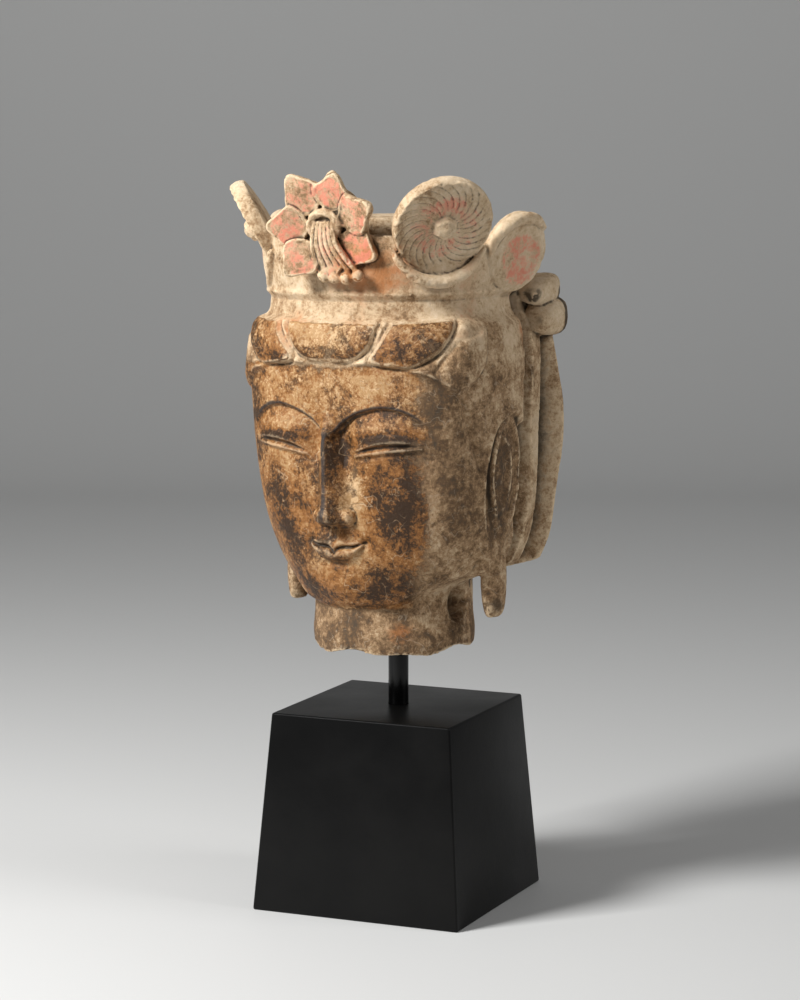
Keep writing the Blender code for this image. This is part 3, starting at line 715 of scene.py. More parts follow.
def flower(put):
    """Lotus of seven petals; strands fall from under an arch to a row of round knobs."""
    centre = flower_seat()
    for k in range(PETALS):
        put(petal(PETAL_LENGTH * PETAL_SHARES[k]), petal_seat(k))
    put(petal(18, 11, 6), centre @ turn_about("Z", -10) @ Matrix.Translation((0, 22, -4)))
    for profile in (
        [(0, -12), (28, -12), (32, -8), (33, -3), (28, 0), (0, 0)],
        [(0, -8), (ARCH_RADIUS, -8), (ARCH_RADIUS + 1.5, 2), (ARCH_RADIUS, 4), (0, 4.5)],
    ):
        put(shaped(turned(profile, 64), as_made), centre)
    turns = np.radians(range(-120, 121, 40))
    arch = [(ARCH_RADIUS * math.sin(g), ARCH_RADIUS * math.cos(g), 5) for g in turns]
    put(pod(arch, (3, 3.2, 3), (3, 4, 3), 16, 48), centre)
    for k in range(STRANDS):
        put(pod(strand_path(k), (2.0, 2.1, 2.8), (2.4, 3.2, 3.2), 14, 30), centre)
    for k in range(KNOBS):
        put(ball((9.7 * k - 1.5, 0.9 * (k - 1.4) ** 2 - 37.5, 8.5), KNOB_RADIUS), centre)


# %% Leaf plates, knots and ear lobes
PLATE_ANGLE = 97
PLATE_REACH = 107
PLATE_HEIGHT = 319
PLATE_LEAN = 14
PLATE_TURN = -18
PLATE_RADIUS = 30
KNOT_ANGLE = 121
KNOT_REACH = 110
KNOT_HEIGHT = 277
LOBE_ANGLE = 90
LOBE_REACH = {-1: 96, 1: 91}
LOBE_HEIGHT = 64


def plate_seat(side):
    place = seat(side * PLATE_ANGLE, PLATE_REACH, PLATE_HEIGHT, PLATE_LEAN)
    return place @ mirrored(side) @ turn_about("Y", PLATE_TURN)


def plates(put):
    """Leaf plates behind the wheels, with a rolled upper rim."""
    size = PLATE_RADIUS

    def rule(x, y, z):
        reach = np.hypot(x, y) / size
        dish = (2.5 * ease((0.75 - reach) / 0.3) + 0.9 * bump((reach - 0.8) / 0.03)) * (z > 0)
        return x, y * (1.04 - 0.1 * (x / size) ** 2), z - dish

    side_line = [(0, -7), (0.87 * size, -7), (size, -4), (1.03 * size, 0), (0.97 * size, 4)]
    leaf = side_line + line((0.8 * size, 6), (0, 7), 1.0) + [(0, 7)]
    roll = [(-29, -4, 3), (-26, 13, 4), (-12, 25, 5), (8, 28, 5), (24, 20, 4)]
    for side in (-1, 1):
        put(shaped(turned(leaf, 90), rule), plate_seat(side))
        put(pod(roll, (2, 4.5, 5, 4.5, 3), (3, 5, 6, 5, 3), 20, 50), plate_seat(side))


def knots(put):
    """Tied bow above the ribbons: a small upper fold and a large lower roll, with a strap to the crown."""
    upper = [(-20, 6, -6), (-8, 11, 4), (8, 12, 7), (20, 9, 4)]
    lower = [(-20, -14, 0), (-6, -11, 7), (10, -10, 10), (24, -9, 9)]
    strap = [(-4, 24, -10), (0, 8, 4), (2, -8, 10)]
    folds = (
        [(-14, 20, 10), (2, 16, 17), (16, 4, 16)], [(-6, -2, 19), (8, -1, 22), (24, -3, 15)],
        [(17, -22, 15), (20, -10, 20), (20, 2, 14)], [(2, -22, 20), (5, -11, 24), (6, -3, 20)],
    )
    for side in (-1, 1):
        here = seat(side * KNOT_ANGLE, KNOT_REACH, KNOT_HEIGHT) @ mirrored(side)
        for fold in folds:
            put(pod(fold, (1.2, 2.0, 1.4), (1.5, 2.6, 1.5), 12, 24), here)
        put(pod(upper, (8, 11, 11, 9), (12, 13, 13, 10), 28, 36, 0.3, 3.4), here)
        put(pod(lower, (9, 14, 15, 13), (12, 15, 16, 13), 28, 36, 0.3, 3.2), here)
        put(pod(strap, (5, 6, 6), (7, 8, 6), 20, 26), here)


def ear_lobes(put):
    """The long lobes hang free below the jaw."""
    way = [(2, 44, 2), (1, 20, 1), (0, -4, 1), (-1, -27, 2)]
    for side in (-1, 1):
        here = seat(side * LOBE_ANGLE, LOBE_REACH[side], LOBE_HEIGHT) @ mirrored(side)
        put(pod(way, (8, 12, 13, 12), (6, 8, 8.5, 8), 24, 40, 0.35), here)


print("ornament rules ready")

# %% [markdown]
# ## Fusing the stone
#
# The core and its ornaments overlap like clay laid on clay. A voxel remesh turns them into the one
# skin of a carved block and softens the joins as a chisel and centuries would. The grain of the
# remesh is about a millimetre, fine enough for the slit of an eye.

# %% One skin
GRAIN = 0.95


def finished(rough):
    """The object's mesh with its modifiers applied; the object itself goes."""
    bpy.context.view_layer.update()
    mesh = bpy.data.meshes.new_from_object(rough.evaluated_get(bpy.context.evaluated_depsgraph_get()))
    bpy.data.objects.remove(rough)
    return mesh


def rough_object(name, mesh):
    result = bpy.data.objects.new(name, mesh)
    bpy.context.scene.collection.objects.link(result)
    return result


def fused_stone():
    whole = bmesh.new()

    def put(mesh, place):
        mesh.transform(place)
        if place.determinant() < 0:
            mesh.flip_normals()
        whole.from_mesh(mesh)
        bpy.data.meshes.remove(mesh)

    put(carved_core(), Matrix())
    for group in (flower, wheels, plates, knots, ear_lobes):
        group(put)
    rough = rough_object("loose carving", as_mesh(whole, "loose carving"))
    remesh = rough.modifiers.new("Fused", "REMESH")
    remesh.mode = "VOXEL"
    remesh.voxel_size = GRAIN
    return finished(rough)


stone = fused_stone()
print("fused skin", len(stone.polygons), "faces")

# %% [markdown]
# ## Wear
#
# Nothing on the stone is as crisp as the rules drew it. Edges have lost chips, and the flats have
# a slow unevenness from the chisel. To know an edge from a flat, each point is compared with the
# average of its neighbourhood: points that stand out of it are ridges, those that lie under it are
# recesses. Both readings also serve the finish later: the recesses take dirt and painted shade, and
# the ridges take pale wear and painted highlights.

# %% Ridges and recesses
def neighbours(mesh):
    ends = np.empty(2 * len(mesh.edges), np.int32)
    mesh.edges.foreach_get("vertices", ends)
    return ends.reshape(-1, 2)


def normals_of(mesh):
    normals = np.empty(3 * len(mesh.vertices), np.float32)
    mesh.vertex_normals.foreach_get("vector", normals)
    return normals.reshape(-1, 3).astype(float)


def averaged(values, ends, passes):
    """Each point takes the mean of its neighbours, as often as asked."""
    count = np.bincount(ends.ravel(), minlength=len(values)).astype(float)
    for _ in range(passes):
        total = np.stack([
            np.bincount(ends[:, 0], column[ends[:, 1]], len(values))
            + np.bincount(ends[:, 1], column[ends[:, 0]], len(values))
            for column in values.T
        ], axis=1)
        values = (values + total / count[:, None]) / 2
    return values


def standing_out(mesh, passes):
    """How far each point stands out of its surroundings, in shares."""
    points = points_of(mesh)
    return ((points - averaged(points, neighbours(mesh), passes)) * normals_of(mesh)).sum(axis=1)


def lumps(points, size, seed, octaves=1):
    """Smooth noise from about -1 to 1 at each point, with lumps of the given size."""
    shift = Vector((seed * 13.7, seed * 7.1, seed * 3.3))
    return np.array([noise.fractal(Vector(point) / size + shift, 0.9, 2.1, octaves) for point in points])


# %% Chips and tool marks
def worn(mesh):
    points = points_of(mesh)
    ridge = standing_out(mesh, 24)
    t = 100 * np.arctan2(points[:, 0], -points[:, 1])
    face = within(t, -125, 95, 20) * within(points[:, 2], 50, 236, 8)
    edge = ease(ridge / 0.9) * (1 - face)
    chips = ease((lumps(points, 11, 1, 2) - 0.16) / 0.2) * edge
    nicks = ease((lumps(points, 4.5, 5, 2) - 0.25) / 0.2) * edge
    uneven = lumps(points, 22, 2)
    grain = lumps(points, 4.5, 3) * (0.18 - 0.15 * face)
    depth = 0.9 * chips + 0.45 * nicks + 0.3 * uneven + grain
    mesh.vertices.foreach_set("co", (points - normals_of(mesh) * depth[:, None]).ravel())
    mesh.update()


worn(stone)
print("deepest recess and highest ridge", standing_out(stone, 8).min(), standing_out(stone, 8).max())

# %% [markdown]
# ## Where each colour lies
#
# What is left of paint and gilding lies in known places: brown gilding on the face and in the
# fields of the locks, pink on petals, wheels and plates, an orange stain under the flower. The
# temples are darker, and shade is painted into the ears, onto the neck under the head, into the
# grooves and beside the nose. Each place becomes a number on every point, an attribute, drawn
# with the same places (t, h) as the carving. The material then breaks it up.

# %% Fields of gilding, with painted light and shade in its lightness
def save_attribute(mesh, name, values):
    layer = mesh.attributes.new(name, "FLOAT", "POINT")
    layer.data.foreach_set("value", np.clip(values, 0, 1).astype(np.float32))


def spots(a, h, *places):
    """Soft spots, each a strength, a middle and half width across, a middle and half height."""
    total = 0 * a
    for strength, across, wide, up, tall in places:
        total = total + strength * bump((a - across) / wide) * bump((h - up) / tall)
    return total


def face_fields(t, h):
    """Gilding of face and locks; its lightness from 0 dark to 1 light, with painted shade beside the nose and
    along the upper lids and a painted pool of light on one cheek; and bluish metal on the edges.
    """
    a = np.abs(t - middle(h))
    gilt = within(t, -122, 84, 56) * within(h, 46, 236, 10)
    inner = hair_place(t)
    fields = 0 * t
    for lock in LOCKS[:2]:
        inside = inside_outline(inner, h, lock) * within(h, 200, 271, 5)
        fields = np.maximum(fields, inside * ease((line_distance(inner, h, lock) - 1.6) / 3))
    # The narrow band at h 180.5 is painted shade along the upper lids.
    dark = spots(a, h, (1.2, 58, 26, 122, 36), (0.7, 40, 30, 60, 12), (1.3, 48, 18, 180.5, 3.2))
    dark += spots(a, h, (0.6, 54, 30, 186, 13), (0.44, 0, 34, 64, 16))
    # The spot at t 14, h 164 is a painted shadow beside the nose.
    dark += spots(t, h, (0.8, 14, 6, 164, 16), (0.8, 60, 26, 254, 9)) + spots(inner, h, (0.9, 40, 24, 242, 6))
    light = spots(a, h, (0.3, 0, 62, 216, 14), (0.8, 50, 20, 190, 5), (0.6, 24, 12, 82, 9))
    # The broad light spot at t -52 is a painted pool of light on that cheek.
    light += spots(t, h, (1.3, 25, 9, 138, 20), (0.7, 14, 28, 258, 14), (0.5, -52, 22, 140, 40))
    light += spots(t, h, (0.5, 72, 25, 255, 16))
    below = flow(a, *BROW) - h
    blue = bump((below + 0.6) / 2.0) * within(a, 3, 82, 16) + bump(a / 2.6) * within(h, 113, 186, 14)
    blue += 0.6 * bump(a / 12) * bump((h - 197) / 7)
    return gilt, fields, 0.5 + 0.5 * (light - dark), blue


# %% Fields of pigment
def local(points, place):
    """The points in an ornament's own frame."""
    back = np.array(place.inverted())
    return points @ back[:3, :3].T + back[:3, 3]


def petal_reach(points, k):
    """1 on a petal's outline, less inside it; and the height over its middle plane."""
    x, y, z = local(points, petal_seat(k)).T
    along = 2 * y / (PETAL_LENGTH * PETAL_SHARES[k] + 3) - 1
    return np.hypot(x / petal_width(np.clip(along, -1, 1)), along), z


def pigment_fields(points):
    """Pink in the petals, in the wheels and on the rear plates."""
    pink = np.zeros(len(points))
    for k in range(PETALS):
        reach, z = petal_reach(points, k)
        field = ease((0.9 - reach) / 0.12) * within(z, -4, 16, 4)
        pink = np.maximum(pink, PETAL_PINKS[k] * field)
    x, y, z = local(points, flower_seat()).T
    pink = np.maximum(pink, 0.55 * within(y, -30, 8, 8) * within(x, -14, 26, 8) * within(z, 2, 18, 4))
    for side in (-1, 1):
        x, y, z = local(points, wheel_seat(side)).T
        reach = np.hypot(x, y) / WHEEL_RADIUS
        pink = np.maximum(pink, 0.75 * within(reach, 0.2, 0.75, 0.4) * within(z, 0, 16, 3))
        x, y, z = local(points, plate_seat(side)).T
        plate = ease((1 - np.hypot((x - 3) / 27, (y + 5) / 25)) / 0.35)
        pink = np.maximum(pink, 0.9 * plate * within(z, -3, 22, 4))
    return pink


def face_shade_lines(t, h):
    """Painted shade between the lips, under the lower lip, in the slits of the eyes and in the ears' folds.
    """
    a = np.abs(t - middle(h))
    lips, rise = flow(a, *SEAM), h + MOUTH_DROP
    lines = 1.2 * bump((rise - lips) / 1.1) * within(a, -40, 30, 5)
    lines += 0.8 * bump((rise - flow(a, *LIP_FOOT) - 0.4) / 1.1) * within(a, -40, 15, 5)
    slit = (flow(a, EYE_PLACES, LID_UPPER) + flow(a, EYE_PLACES, LID_LOWER)) / 2
    lines += 0.35 * bump((h - slit - 0.6) / 1.6) * within(a, 27, 76, 5)
    a = np.abs(t)
    for ridge in (HELIX, SHELL):
        lines += 0.5 * bump((oval(a, h, *ridge) - 1.17) / 0.07) * within(h, 90, 196, 10)
    return lines


def painted_shade_lines(points, t, h):
    """Painted shade in the thin lines of the wheels, round the petals, between the strands, in the gaps by
    the ribbons and in the neck's pit.
    """
    lines = 0 * t
    for side in (-1, 1):
        x, y, z = local(points, wheel_seat(side)).T
        reach = np.hypot(x, y) / WHEEL_RADIUS
        phase = flute_phase(reach, np.arctan2(y, x))
        # Painted shade at the drop of each flute.
        fine = np.maximum(ease((0.16 - phase) / 0.1), ease((phase - 0.9) / 0.1))
        lines = np.maximum(lines, 0.42 * fine * within(reach, 0.3, 1.02, 0.1) * within(z, 1, 14, 2))
    for k in range(PETALS):
        reach, z = petal_reach(points, k)
        # Painted shade round each petal's outline.
        edge = np.maximum(bump((reach - 1.06) / 0.045), 0.6 * bump((reach - 0.9) / 0.03))
        lines = np.maximum(lines, 0.8 * edge * within(z, -5, 9, 3))
    x, y, z = local(points, flower_seat()).T
    lines *= 1 - within(y, -40, 6, 4) * within(x, -9 - 0.1 * y, 8 - 0.55 * y, 3) * within(z, 4, 20, 3)
    for k in range(STRANDS - 1):
        places = (np.array(strand_path(k)) + np.array(strand_path(k + 1))) / 2
        middle_x = flow(-y, -places[:, 1], places[:, 0])
        # Painted shade in the grooves between the strands.
        groove = bump((x - middle_x) / 0.7) * within(y, -35, 6, 3) * within(z, 3, 18, 2)
        lines = np.maximum(lines, 0.6 * groove)
    s = np.abs(t) - flow(h, *GAP)
    # Painted shade in the gaps before the ribbons and in the neck's pit.
    gaps = 1.3 * np.maximum(within(s, -4, 4, 3), within(s, 21, 28, 3)) + 0.35 * bump((s - 13) / 2)
    gaps *= within(h, 56, 290, 8)
    pit = ease(1.3 - oval(t, h, *NECK_PIT)) * (t > 0)
    return lines + gaps + 0.8 * pit + face_shade_lines(t, h)


# %% Stains, dirt, painted shade, and all fields onto the stone
# A field can't go below 0, so clean stone has some dirt to start with, and cleaner stone has less.
CLEAN_STONE = 0.4


def stains(t, h):
    """Orange under the flower, on the band, by knots and ribbons, on the neck, thin on the hair."""
    a = np.abs(t)
    orange = 0.85 * bump((t - 44) / 40) * within(h, 284, 336, 34)
    orange += 0.5 * bump((a - 126) / 18) * within(h, 262, 318, 24) + 0.2 * within(h, 200, 266, 20)
    orange += 0.8 * bump((a - 184) / 5) * within(h, 240, 292, 20)
    return orange + spots(a, h, (0.5, 34, 26, 266, 14)) + spots(t, h, (0.7, 66, 20, 26, 10))


def grime_and_shade(t, h, radius):
    """Darker stone over that of clean stone: on the temples, painted shade in the ears and on the neck under
    the head, less by the crown.
    """
    a = np.abs(t)
    dirt_and_shade = 0.7 * within(a, 70, 178, 40) * within(h, 40, 240, 40) + spots(a, h, (0.9, 108, 26, 190, 45))
    dirt_and_shade -= 0.8 * ease((a - 70) / 30) * ease((h - 262) / 14)
    # Painted shade inside the sunk ears.
    dirt_and_shade += 0.5 * ease((1.02 - oval(a, h, *EAR)) / 0.1)
    # Painted shade on the neck under the head.
    return dirt_and_shade + 1.6 * within(h, 10, 46, 8) * within(radius, 50, 90, 8)


def paint(mesh):
    points = points_of(mesh)
    t, h = 100 * np.arctan2(points[:, 0], -points[:, 1]), points[:, 2]
    radius = np.hypot(points[:, 0], points[:, 1])
    near, wide = standing_out(mesh, 4), standing_out(mesh, 30)
    front = within(radius, 60, 200, 2)
    gilt, lock_gilt, tone_light_and_shade, blue = face_fields(t, h)
    fields = {
        "gilt": gilt,
        "lock_gilt": lock_gilt * front,
        "tone_light_and_shade": tone_light_and_shade,
        "blue": blue,
        "orange": stains(t, h) * front,
        "pink": pigment_fields(points),
        # Dark in recesses and along the painted lines: dirt together with painted shade.
        "recess_dirt_and_shade": -near / 0.35 * 0.6 - wide / 2.2 + painted_shade_lines(points, t, h),
        # Pale wear and painted highlight on the ridges.
        "ridge": near / 0.3 * 0.6 + wide / 2.8,
        "grime_and_shade": CLEAN_STONE + 0.5 * grime_and_shade(t, h, radius),
    }
    for name, values in fields.items():
        save_attribute(mesh, name, values)


paint(stone)
print("painted fields:", [layer.name for layer in stone.attributes if layer.data_type == "FLOAT"])

# %% [markdown]
# ## Thinning and placing
#
# The fused skin has more than half a million squares, too many to hand on. Decimate merges those
# that lie flat and leaves the folds, and it carries the painted numbers along. The stone then turns
# and leans to its place over the block, and the hole for the rod is bored upright.

# %% The finished stone
MOST_TRIANGLES = 188000
ROD_RADIUS = 0.008
ROD_IN_NECK = 0.070
FIT = 0.0003
# The cutters for the rod's holes reach this far past the neck and past the block's top.
PAST_NECK = 0.03
PAST_BLOCK = 0.02


def round_bar(radius, low, high, sides, bevel=0.0):
    """An upright bar on the Z axis."""
    bm = bmesh.new()
    upright = Matrix.Translation((0, 0, (low + high) / 2))
    bmesh.ops.create_cone(
        bm, cap_ends=True, segments=sides, radius1=radius, radius2=radius, depth=high - low, matrix=upright
    )
    if bevel:
        rims = [e for e in bm.edges if abs(e.verts[0].co.z - e.verts[1].co.z) < 1e-6]
        bmesh.ops.bevel(bm, geom=rims, offset=bevel, segments=2, profile=0.5, affect="EDGES", material=-1)
    return as_mesh(bm, "round bar")


def bored(rough, low, high):
    """The finished mesh of an object, with the rod's hole cut between two heights."""
    bore = rough_object("rod hole", round_bar(ROD_RADIUS + FIT, low, high, 96))
    cut = rough.modifiers.new("Rod hole", "BOOLEAN")
    cut.operation = "DIFFERENCE"
    cut.object = bore
    result = finished(rough)
    bpy.data.objects.remove(bore)
    return result


def placed_stone(mesh):
    leaning = Matrix.Rotation(STONE_TURN, 4, "Z") @ Matrix.Rotation(STONE_TILT, 4, "Y")
    mesh.transform(Matrix.Translation((0, 0, STONE_ZERO)) @ leaning @ Matrix.Scale(SHARE, 4))
    rough = rough_object("thick stone", mesh)
    thin = rough.modifiers.new("Thinned", "DECIMATE")
    thin.ratio = MOST_TRIANGLES / (2 * len(mesh.polygons))
    thin.use_collapse_triangulate = True
    return bored(rough, NECK_BOTTOM - PAST_NECK, NECK_BOTTOM + ROD_IN_NECK + FIT)


def add_piece(name, mesh):
    """A finished piece that takes the place of the solid of the same name."""
    result = bpy.data.objects.new("fine_" + name, mesh)
    bpy.context.scene.collection.objects.link(result)
    mesh.shade_smooth()
    mesh.materials.clear()
    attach(result, "root")
    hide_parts(name)
    return result


head = add_piece("head", placed_stone(stone))
print("stone", len(head.data.polygons), "triangles")

# %% [markdown]
# ## Finish of the stone
#
# A material can be thought of as layers, like the real finish: mottled stone first, then orange
# and pink pigment, brown gilding that has cracked and flaked, black dirt and painted shade in the
# recesses, and pale ridges, partly rubbed bare by hands and partly painted highlight. Each layer
# covers the one below by a mask, and each mask is a painted field broken up by noise, so its edge
# is ragged like flaking paint.

# %% Small node helpers
class Nodes:
    """A short way to write node chains."""

    def __init__(self, material):
        self.tree = material.node_tree
        self.shader = self.tree.nodes["Principled BSDF"]
        self.place = self.add("ShaderNodeTexCoord").outputs["Object"]

    def add(self, kind, **values):
        node = self.tree.nodes.new(kind)
        for name, value in values.items():
            setattr(node, name, value)
        return node

    def link(self, source, target):
        if hasattr(source, "links"):
            self.tree.links.new(source, target)
        else:
            target.default_value = source

    def field(self, name):
        return self.add("ShaderNodeAttribute", attribute_name=name).outputs["Fac"]

    def stretched(self, scale):
        """The object's coordinates, drawn out along its axes."""
        node = self.add("ShaderNodeMapping")
        self.link(self.place, node.inputs["Vector"])
        node.inputs["Scale"].default_value = scale
        return node.outputs["Vector"]

    def noise(self, size, detail=4.0, rough=0.6, warp=0.0, vector=None):
        """Noise whose lumps are about size millimetres wide."""
        node = self.add("ShaderNodeTexNoise")
        self.link(vector or self.place, node.inputs["Vector"])
        node.inputs["Scale"].default_value = 1000 / size / 2
        node.inputs["Detail"].default_value = detail
        node.inputs["Roughness"].default_value = rough
        node.inputs["Distortion"].default_value = warp
        return node.outputs["Fac"]

    def veins(self, size, width, share, seed):
        """Broken thin lines: the level line of one noise, kept where another is high."""
        shifted = self.add("ShaderNodeMapping")
        self.link(self.place, shifted.inputs["Vector"])
        shifted.inputs["Location"].default_value = (seed, 2.3 * seed, 1.7 * seed)
        hills = self.noise(size, 2, 0.5, 0.2, shifted.outputs["Vector"])
        level = self.math("ABSOLUTE", self.math("SUBTRACT", hills, 0.5))
        kept = self.step(self.noise(size * 0.8, 2, 0.5), 0.62 - share / 3, 0.7 - share / 3)
        return self.product(self.step(level, width, width * 0.3), kept)

    def math(self, operation, a, b=0.0, clamp=False):
        node = self.add("ShaderNodeMath", operation=operation, use_clamp=clamp)
        self.link(a, node.inputs[0])
        self.link(b, node.inputs[1])
        return node.outputs[0]

    def without(self, value, share=1.0):
        """What is left of 1 when a share of the value is taken off."""
        return self.math("SUBTRACT", 1.0, self.math("MULTIPLY", value, share))

    def step(self, value, low, high, top=1.0):
        """0 below low, top above high, smooth between; low may be the larger."""
        node = self.add("ShaderNodeMapRange", interpolation_type="SMOOTHSTEP")
        self.link(value, node.inputs["Value"])
        turned_round = low > high
        node.inputs["From Min"].default_value = high if turned_round else low
        node.inputs["From Max"].default_value = low if turned_round else high
        node.inputs["To Min"].default_value = top if turned_round else 0
        node.inputs["To Max"].default_value = 0 if turned_round else top
        return node.outputs["Result"]

    def over(self, mask, below, above):
        """Colour above where mask is 1, below where it is 0."""
        node = self.add("ShaderNodeMix", data_type="RGBA")
        self.link(mask, node.inputs["Factor"])
        self.link((*below, 1) if isinstance(below, tuple) else below, node.inputs[6])
        self.link((*above, 1) if isinstance(above, tuple) else above, node.inputs[7])
        return node.outputs[2]

    def ramp(self, value, *stops):
        """Colours at given places along a value, blended between them."""
        node = self.add("ShaderNodeValToRGB")
        self.link(value, node.inputs["Fac"])
        marks = node.color_ramp.elements
        while len(marks) < len(stops):
            marks.new(0.5)
        for mark, (place, colour) in zip(marks, stops):
            mark.position = place
            mark.color = (*colour, 1)
        return node.outputs["Color"]

    def total(self, *shares):
        """The sum of values, each times its weight."""
        result = 0.0
        for value, weight in shares:
            node = self.add("ShaderNodeMath", operation="MULTIPLY_ADD")
            self.link(value, node.inputs[0])
            self.link(weight, node.inputs[1])
            self.link(result, node.inputs[2])
            result = node.outputs[0]
        return result

    def product(self, *values):
        result = values[0]
        for value in values[1:]:
            result = self.math("MULTIPLY", result, value)
        return result

    def bump(self, height, distance, strength=1.0, below=None):
        node = self.add("ShaderNodeBump")
        self.link(height, node.inputs["Height"])
        node.inputs["Distance"].default_value = distance
        node.inputs["Strength"].default_value = strength
        if below:
            self.link(below, node.inputs["Normal"])
        return node.outputs["Normal"]


def new_material(name, roughness):
    result = plain_material(name, (0.5, 0.5, 0.5), roughness)
    return result, Nodes(result)


# %% Stone, pigment, gilding, dirt, painted shade and painted highlight
CHALK = (0.72, 0.58, 0.41)
PALE_STONE = (0.56, 0.41, 0.255)
WARM_STONE = (0.35, 0.22, 0.115)
UMBER = (0.15, 0.085, 0.04)
SOOT = (0.075, 0.052, 0.033)
ORANGE = (0.42, 0.14, 0.032)
PINK = (0.68, 0.22, 0.14)
PALE_GOLD = (0.66, 0.45, 0.25)
TAN = (0.42, 0.245, 0.105)
AMBER = (0.25, 0.095, 0.018)
BROWN_GILT = (0.16, 0.066, 0.016)
DARK_GILT = (0.034, 0.014, 0.003)
BLUE_GREY = (0.02, 0.019, 0.021)
# Colour of the dirt and painted shade in recesses.
RECESS_DIRT_AND_SHADE = (0.028, 0.019, 0.011)
# Pale of rubbed ridges and of painted highlights.
RUBBED_AND_HIGHLIGHT = (0.74, 0.56, 0.36)


def stone_finish():
    material, n = new_material("gilded limestone", 0.75)
    speckle = n.noise(1.1, 5, 0.8)
    fleck = n.noise(2.4, 8, 0.78, 0.3)
    patch = n.noise(7, 8, 0.7, 0.5)
    cloud = n.noise(22, 8, 0.66, 0.4)
    runs = n.noise(11, 6, 0.66, 0.4, n.stretched((1, 1, 0.3)))

    # The field of darker stone and painted shade darkens it: temples, ears and neck.
    stone_tone = n.total(
        (cloud, 0.45), (patch, 0.6), (fleck, 0.7), (speckle, 0.4), (runs, 0.5),
        (n.field("grime_and_shade"), -0.3), (1.0, -0.67),
    )
    colour = n.ramp(
        stone_tone, (0.18, SOOT), (0.33, UMBER), (0.46, WARM_STONE), (0.58, PALE_STONE), (0.82, CHALK)
    )
    scratch = n.math("MAXIMUM", n.veins(9, 0.012, 0.5, 5.0), n.veins(4, 0.016, 0.2, 7.0))
    colour = n.over(n.math("MULTIPLY", scratch, 0.22), colour, CHALK)
    stain = n.total((n.field("orange"), 2.1), (patch, 3.2), (cloud, 4.0), (fleck, 2.0), (1.0, -5.1))
    stain = n.product(n.step(stain, 0.2, 1.6, 0.8), n.step(n.field("orange"), 0.02, 0.4))
    colour = n.over(stain, colour, ORANGE)
    flaked = n.total((n.field("pink"), 1.7), (fleck, 4.0), (patch, 4.5), (1.0, -5.0))
    flaked = n.product(n.step(flaked, 0.2, 1.3, 0.88), n.step(n.field("pink"), 0.05, 0.4))
    colour = n.over(flaked, colour, PINK)

    # The gilding's lightness follows a field that holds painted shade by the nose and lids and painted light
    # on one cheek.
    gilt_tone = n.total(
        (cloud, 1.2), (patch, 0.7), (fleck, 1.1), (speckle, 0.8), (n.field("tone_light_and_shade"), 0.58), (1.0, -1.735)
    )
    amber = n.total((n.noise(22, 5, 0.6, 0.6), 3.2), (patch, 1.2), (1.0, -1.65))
    browns = n.ramp(gilt_tone, (0.28, DARK_GILT), (0.42, BROWN_GILT), (0.58, TAN), (0.74, PALE_GOLD))
    ambers = n.ramp(gilt_tone, (0.24, DARK_GILT), (0.34, BROWN_GILT), (0.45, AMBER), (0.68, TAN))
    gilding = n.over(n.step(amber, 0.2, 0.8), browns, ambers)
    worn_fleck = n.total(
        (n.noise(1.8, 8, 0.8, 0.8), 0.8), (speckle, 0.5), (patch, 0.3), (n.field("tone_light_and_shade"), 0.2), (1.0, -0.4)
    )
    gilding = n.over(n.step(worn_fleck, 0.55, 0.68, 0.85), gilding, PALE_GOLD)
    bluish = n.total((n.field("blue"), 1.0), (patch, 1.0), (fleck, 0.8), (1.0, -0.9))
    gilding = n.over(n.step(bluish, 0.45, 0.95, 0.85), gilding, BLUE_GREY)
    cover = n.math("ADD", n.field("gilt"), n.field("lock_gilt"), clamp=True)
    cover = n.total(
        (cover, 1.8), (patch, 3.0), (fleck, 2.4), (cloud, 3.0), (n.field("tone_light_and_shade"), -0.9), (1.0, -4.3)
    )
    cover = n.step(cover, 0.2, 0.8)
    veins = n.math("MAXIMUM", n.veins(14, 0.007, 0.5, 1.0), n.veins(6, 0.010, 0.35, 3.0))
    cover = n.product(cover, n.without(veins, 0.4))
    colour = n.over(cover, colour, gilding)

    # Recesses take dirt and painted shade, darker where the surface lies under its surroundings.
    dirt_and_shade = n.total((n.field("recess_dirt_and_shade"), 1.0), (fleck, 1.2), (1.0, -0.6))
    colour = n.over(n.step(dirt_and_shade, 0.2, 0.95, 0.88), colour, RECESS_DIRT_AND_SHADE)
    # Ridges turn pale: partly rubbed bare, partly a painted highlight where edges catch the light.
    rub = n.total((n.field("ridge"), 1.0), (patch, 1.4), (fleck, 0.8), (1.0, -1.1))
    rub = n.product(n.step(rub, 0.2, 0.8, 0.8), n.without(n.field("gilt"), 0.6), n.without(n.field("blue")))
    colour = n.over(rub, colour, RUBBED_AND_HIGHLIGHT)
    n.link(colour, n.shader.inputs["Base Color"])

    roughness = n.math("SUBTRACT", 0.86, n.math("MULTIPLY", cover, 0.42))
    n.link(roughness, n.shader.inputs["Roughness"])
    n.shader.inputs["Specular IOR Level"].default_value = 0.32
    fine = n.bump(speckle, 0.0005, 0.9)
    crazed = n.bump(n.math("SUBTRACT", cover, n.math("MULTIPLY", veins, 0.8)), 0.00035, 0.8, fine)
    n.link(n.bump(fleck, 0.0012, 0.8, crazed), n.shader.inputs["Normal"])
    return material


head.data.materials.append(stone_finish())
print("stone finish with", len(head.data.materials[0].node_tree.nodes), "nodes")

# %% [markdown]
# ## Rod and block
#
# The rod is a plain steel bar with a black finish, and only its short bare stretch shows. The
# block is a wooden box whose four faces lean in towards the top. Rounded edges matter more than
# anything else on a black object, because only there does it catch the light.

# %% Rod
rod_low, rod_high = (corner[2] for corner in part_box("rod"))
rod = add_piece("rod", round_bar(ROD_RADIUS, rod_low, rod_high, 96, 0.0005))
rod.data.set_sharp_from_angle(angle=math.radians(40))


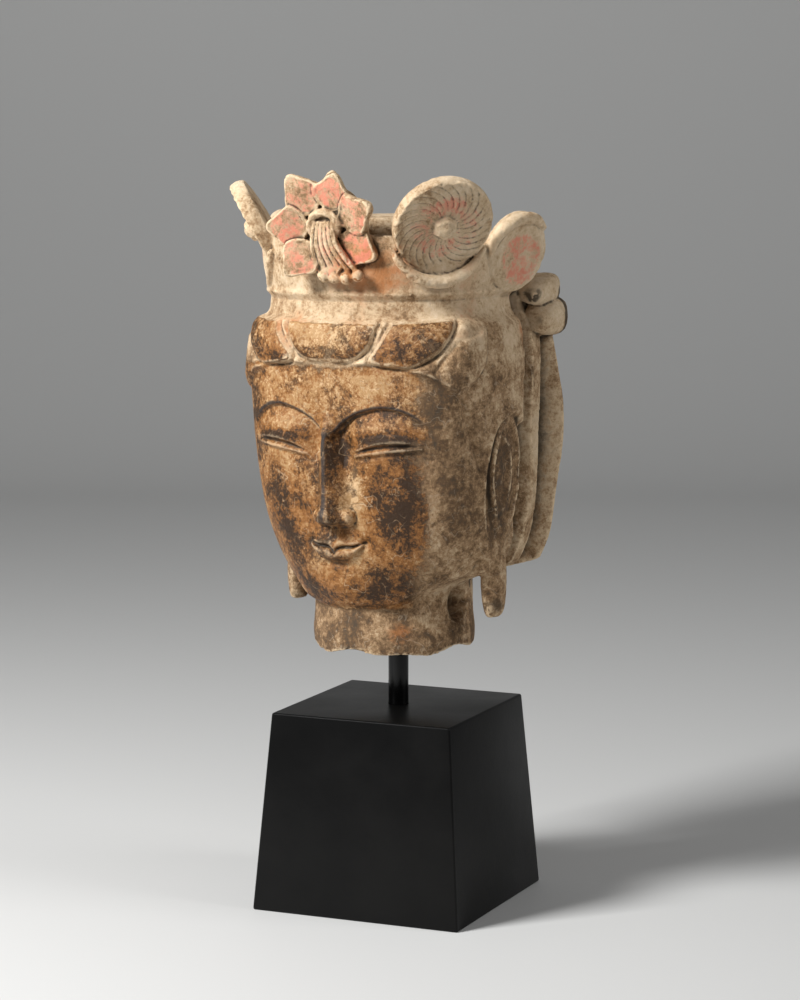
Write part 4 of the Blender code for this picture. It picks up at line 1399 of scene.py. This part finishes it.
def rod_finish():
    material, n = new_material("black bar", 0.25)
    scuff = n.step(n.noise(7, 6, 0.7, 0.0, n.stretched((1, 1, 0.35))), 0.6, 0.72)
    bare = n.over(n.product(scuff, 0.5), (0.008, 0.008, 0.008), (0.12, 0.11, 0.1))
    n.link(bare, n.shader.inputs["Base Color"])
    n.link(n.math("ADD", 0.18, n.math("MULTIPLY", scuff, 0.4)), n.shader.inputs["Roughness"])
    n.link(n.bump(n.noise(1.2, 3), 0.00005, 0.4), n.shader.inputs["Normal"])
    n.shader.inputs["Metallic"].default_value = 0.6
    return material


rod.data.materials.append(rod_finish())

# %% Block
block_low, block_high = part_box("plinth")
BLOCK_BASE = block_high[0] - block_low[0]
BLOCK_TOP = 0.151
BLOCK_HEIGHT = block_high[2]
BLOCK_EDGE = 0.0018
ROD_IN_BLOCK = 0.060


def block():
    bm = bmesh.new()
    bmesh.ops.create_cube(bm, size=1)
    bmesh.ops.scale(bm, verts=bm.verts, vec=(BLOCK_BASE, BLOCK_BASE, BLOCK_HEIGHT))
    bmesh.ops.translate(bm, verts=bm.verts, vec=(0, 0, BLOCK_HEIGHT / 2))
    upper = [v for v in bm.verts if v.co.z > BLOCK_HEIGHT / 2]
    bmesh.ops.scale(bm, verts=upper, vec=(BLOCK_TOP / BLOCK_BASE, BLOCK_TOP / BLOCK_BASE, 1))
    bmesh.ops.bevel(
        bm, geom=bm.edges[:], offset=BLOCK_EDGE, segments=4, profile=0.5, affect="EDGES", material=-1
    )
    rough = rough_object("rough block", as_mesh(bm, "block"))
    return bored(rough, BLOCK_HEIGHT - ROD_IN_BLOCK - FIT, BLOCK_HEIGHT + PAST_BLOCK)


def block_finish():
    material, n = new_material("satin black paint", 0.4)
    cloud = n.noise(60, 5, 0.6)
    rub = n.step(n.noise(3.5, 6, 0.72), 0.66, 0.74, 0.35)
    black = n.over(n.step(cloud, 0.35, 0.7), (0.003, 0.003, 0.003), (0.006, 0.0058, 0.0055))
    n.link(n.over(rub, black, (0.02, 0.018, 0.015)), n.shader.inputs["Base Color"])
    n.shader.inputs["Specular IOR Level"].default_value = 0.14
    n.link(n.total((cloud, 0.3), (1.0, 0.21)), n.shader.inputs["Roughness"])
    waves = n.bump(n.noise(16, 3, 0.5), 0.0006, 0.35)
    n.link(n.bump(n.noise(1.1, 4, 0.6), 0.00012, 0.5, waves), n.shader.inputs["Normal"])
    return material


plinth = add_piece("plinth", block())
plinth.data.set_sharp_from_angle(angle=math.radians(20))
plinth.data.materials.append(block_finish())
print("block", len(plinth.data.polygons), "faces, rod", len(rod.data.polygons))
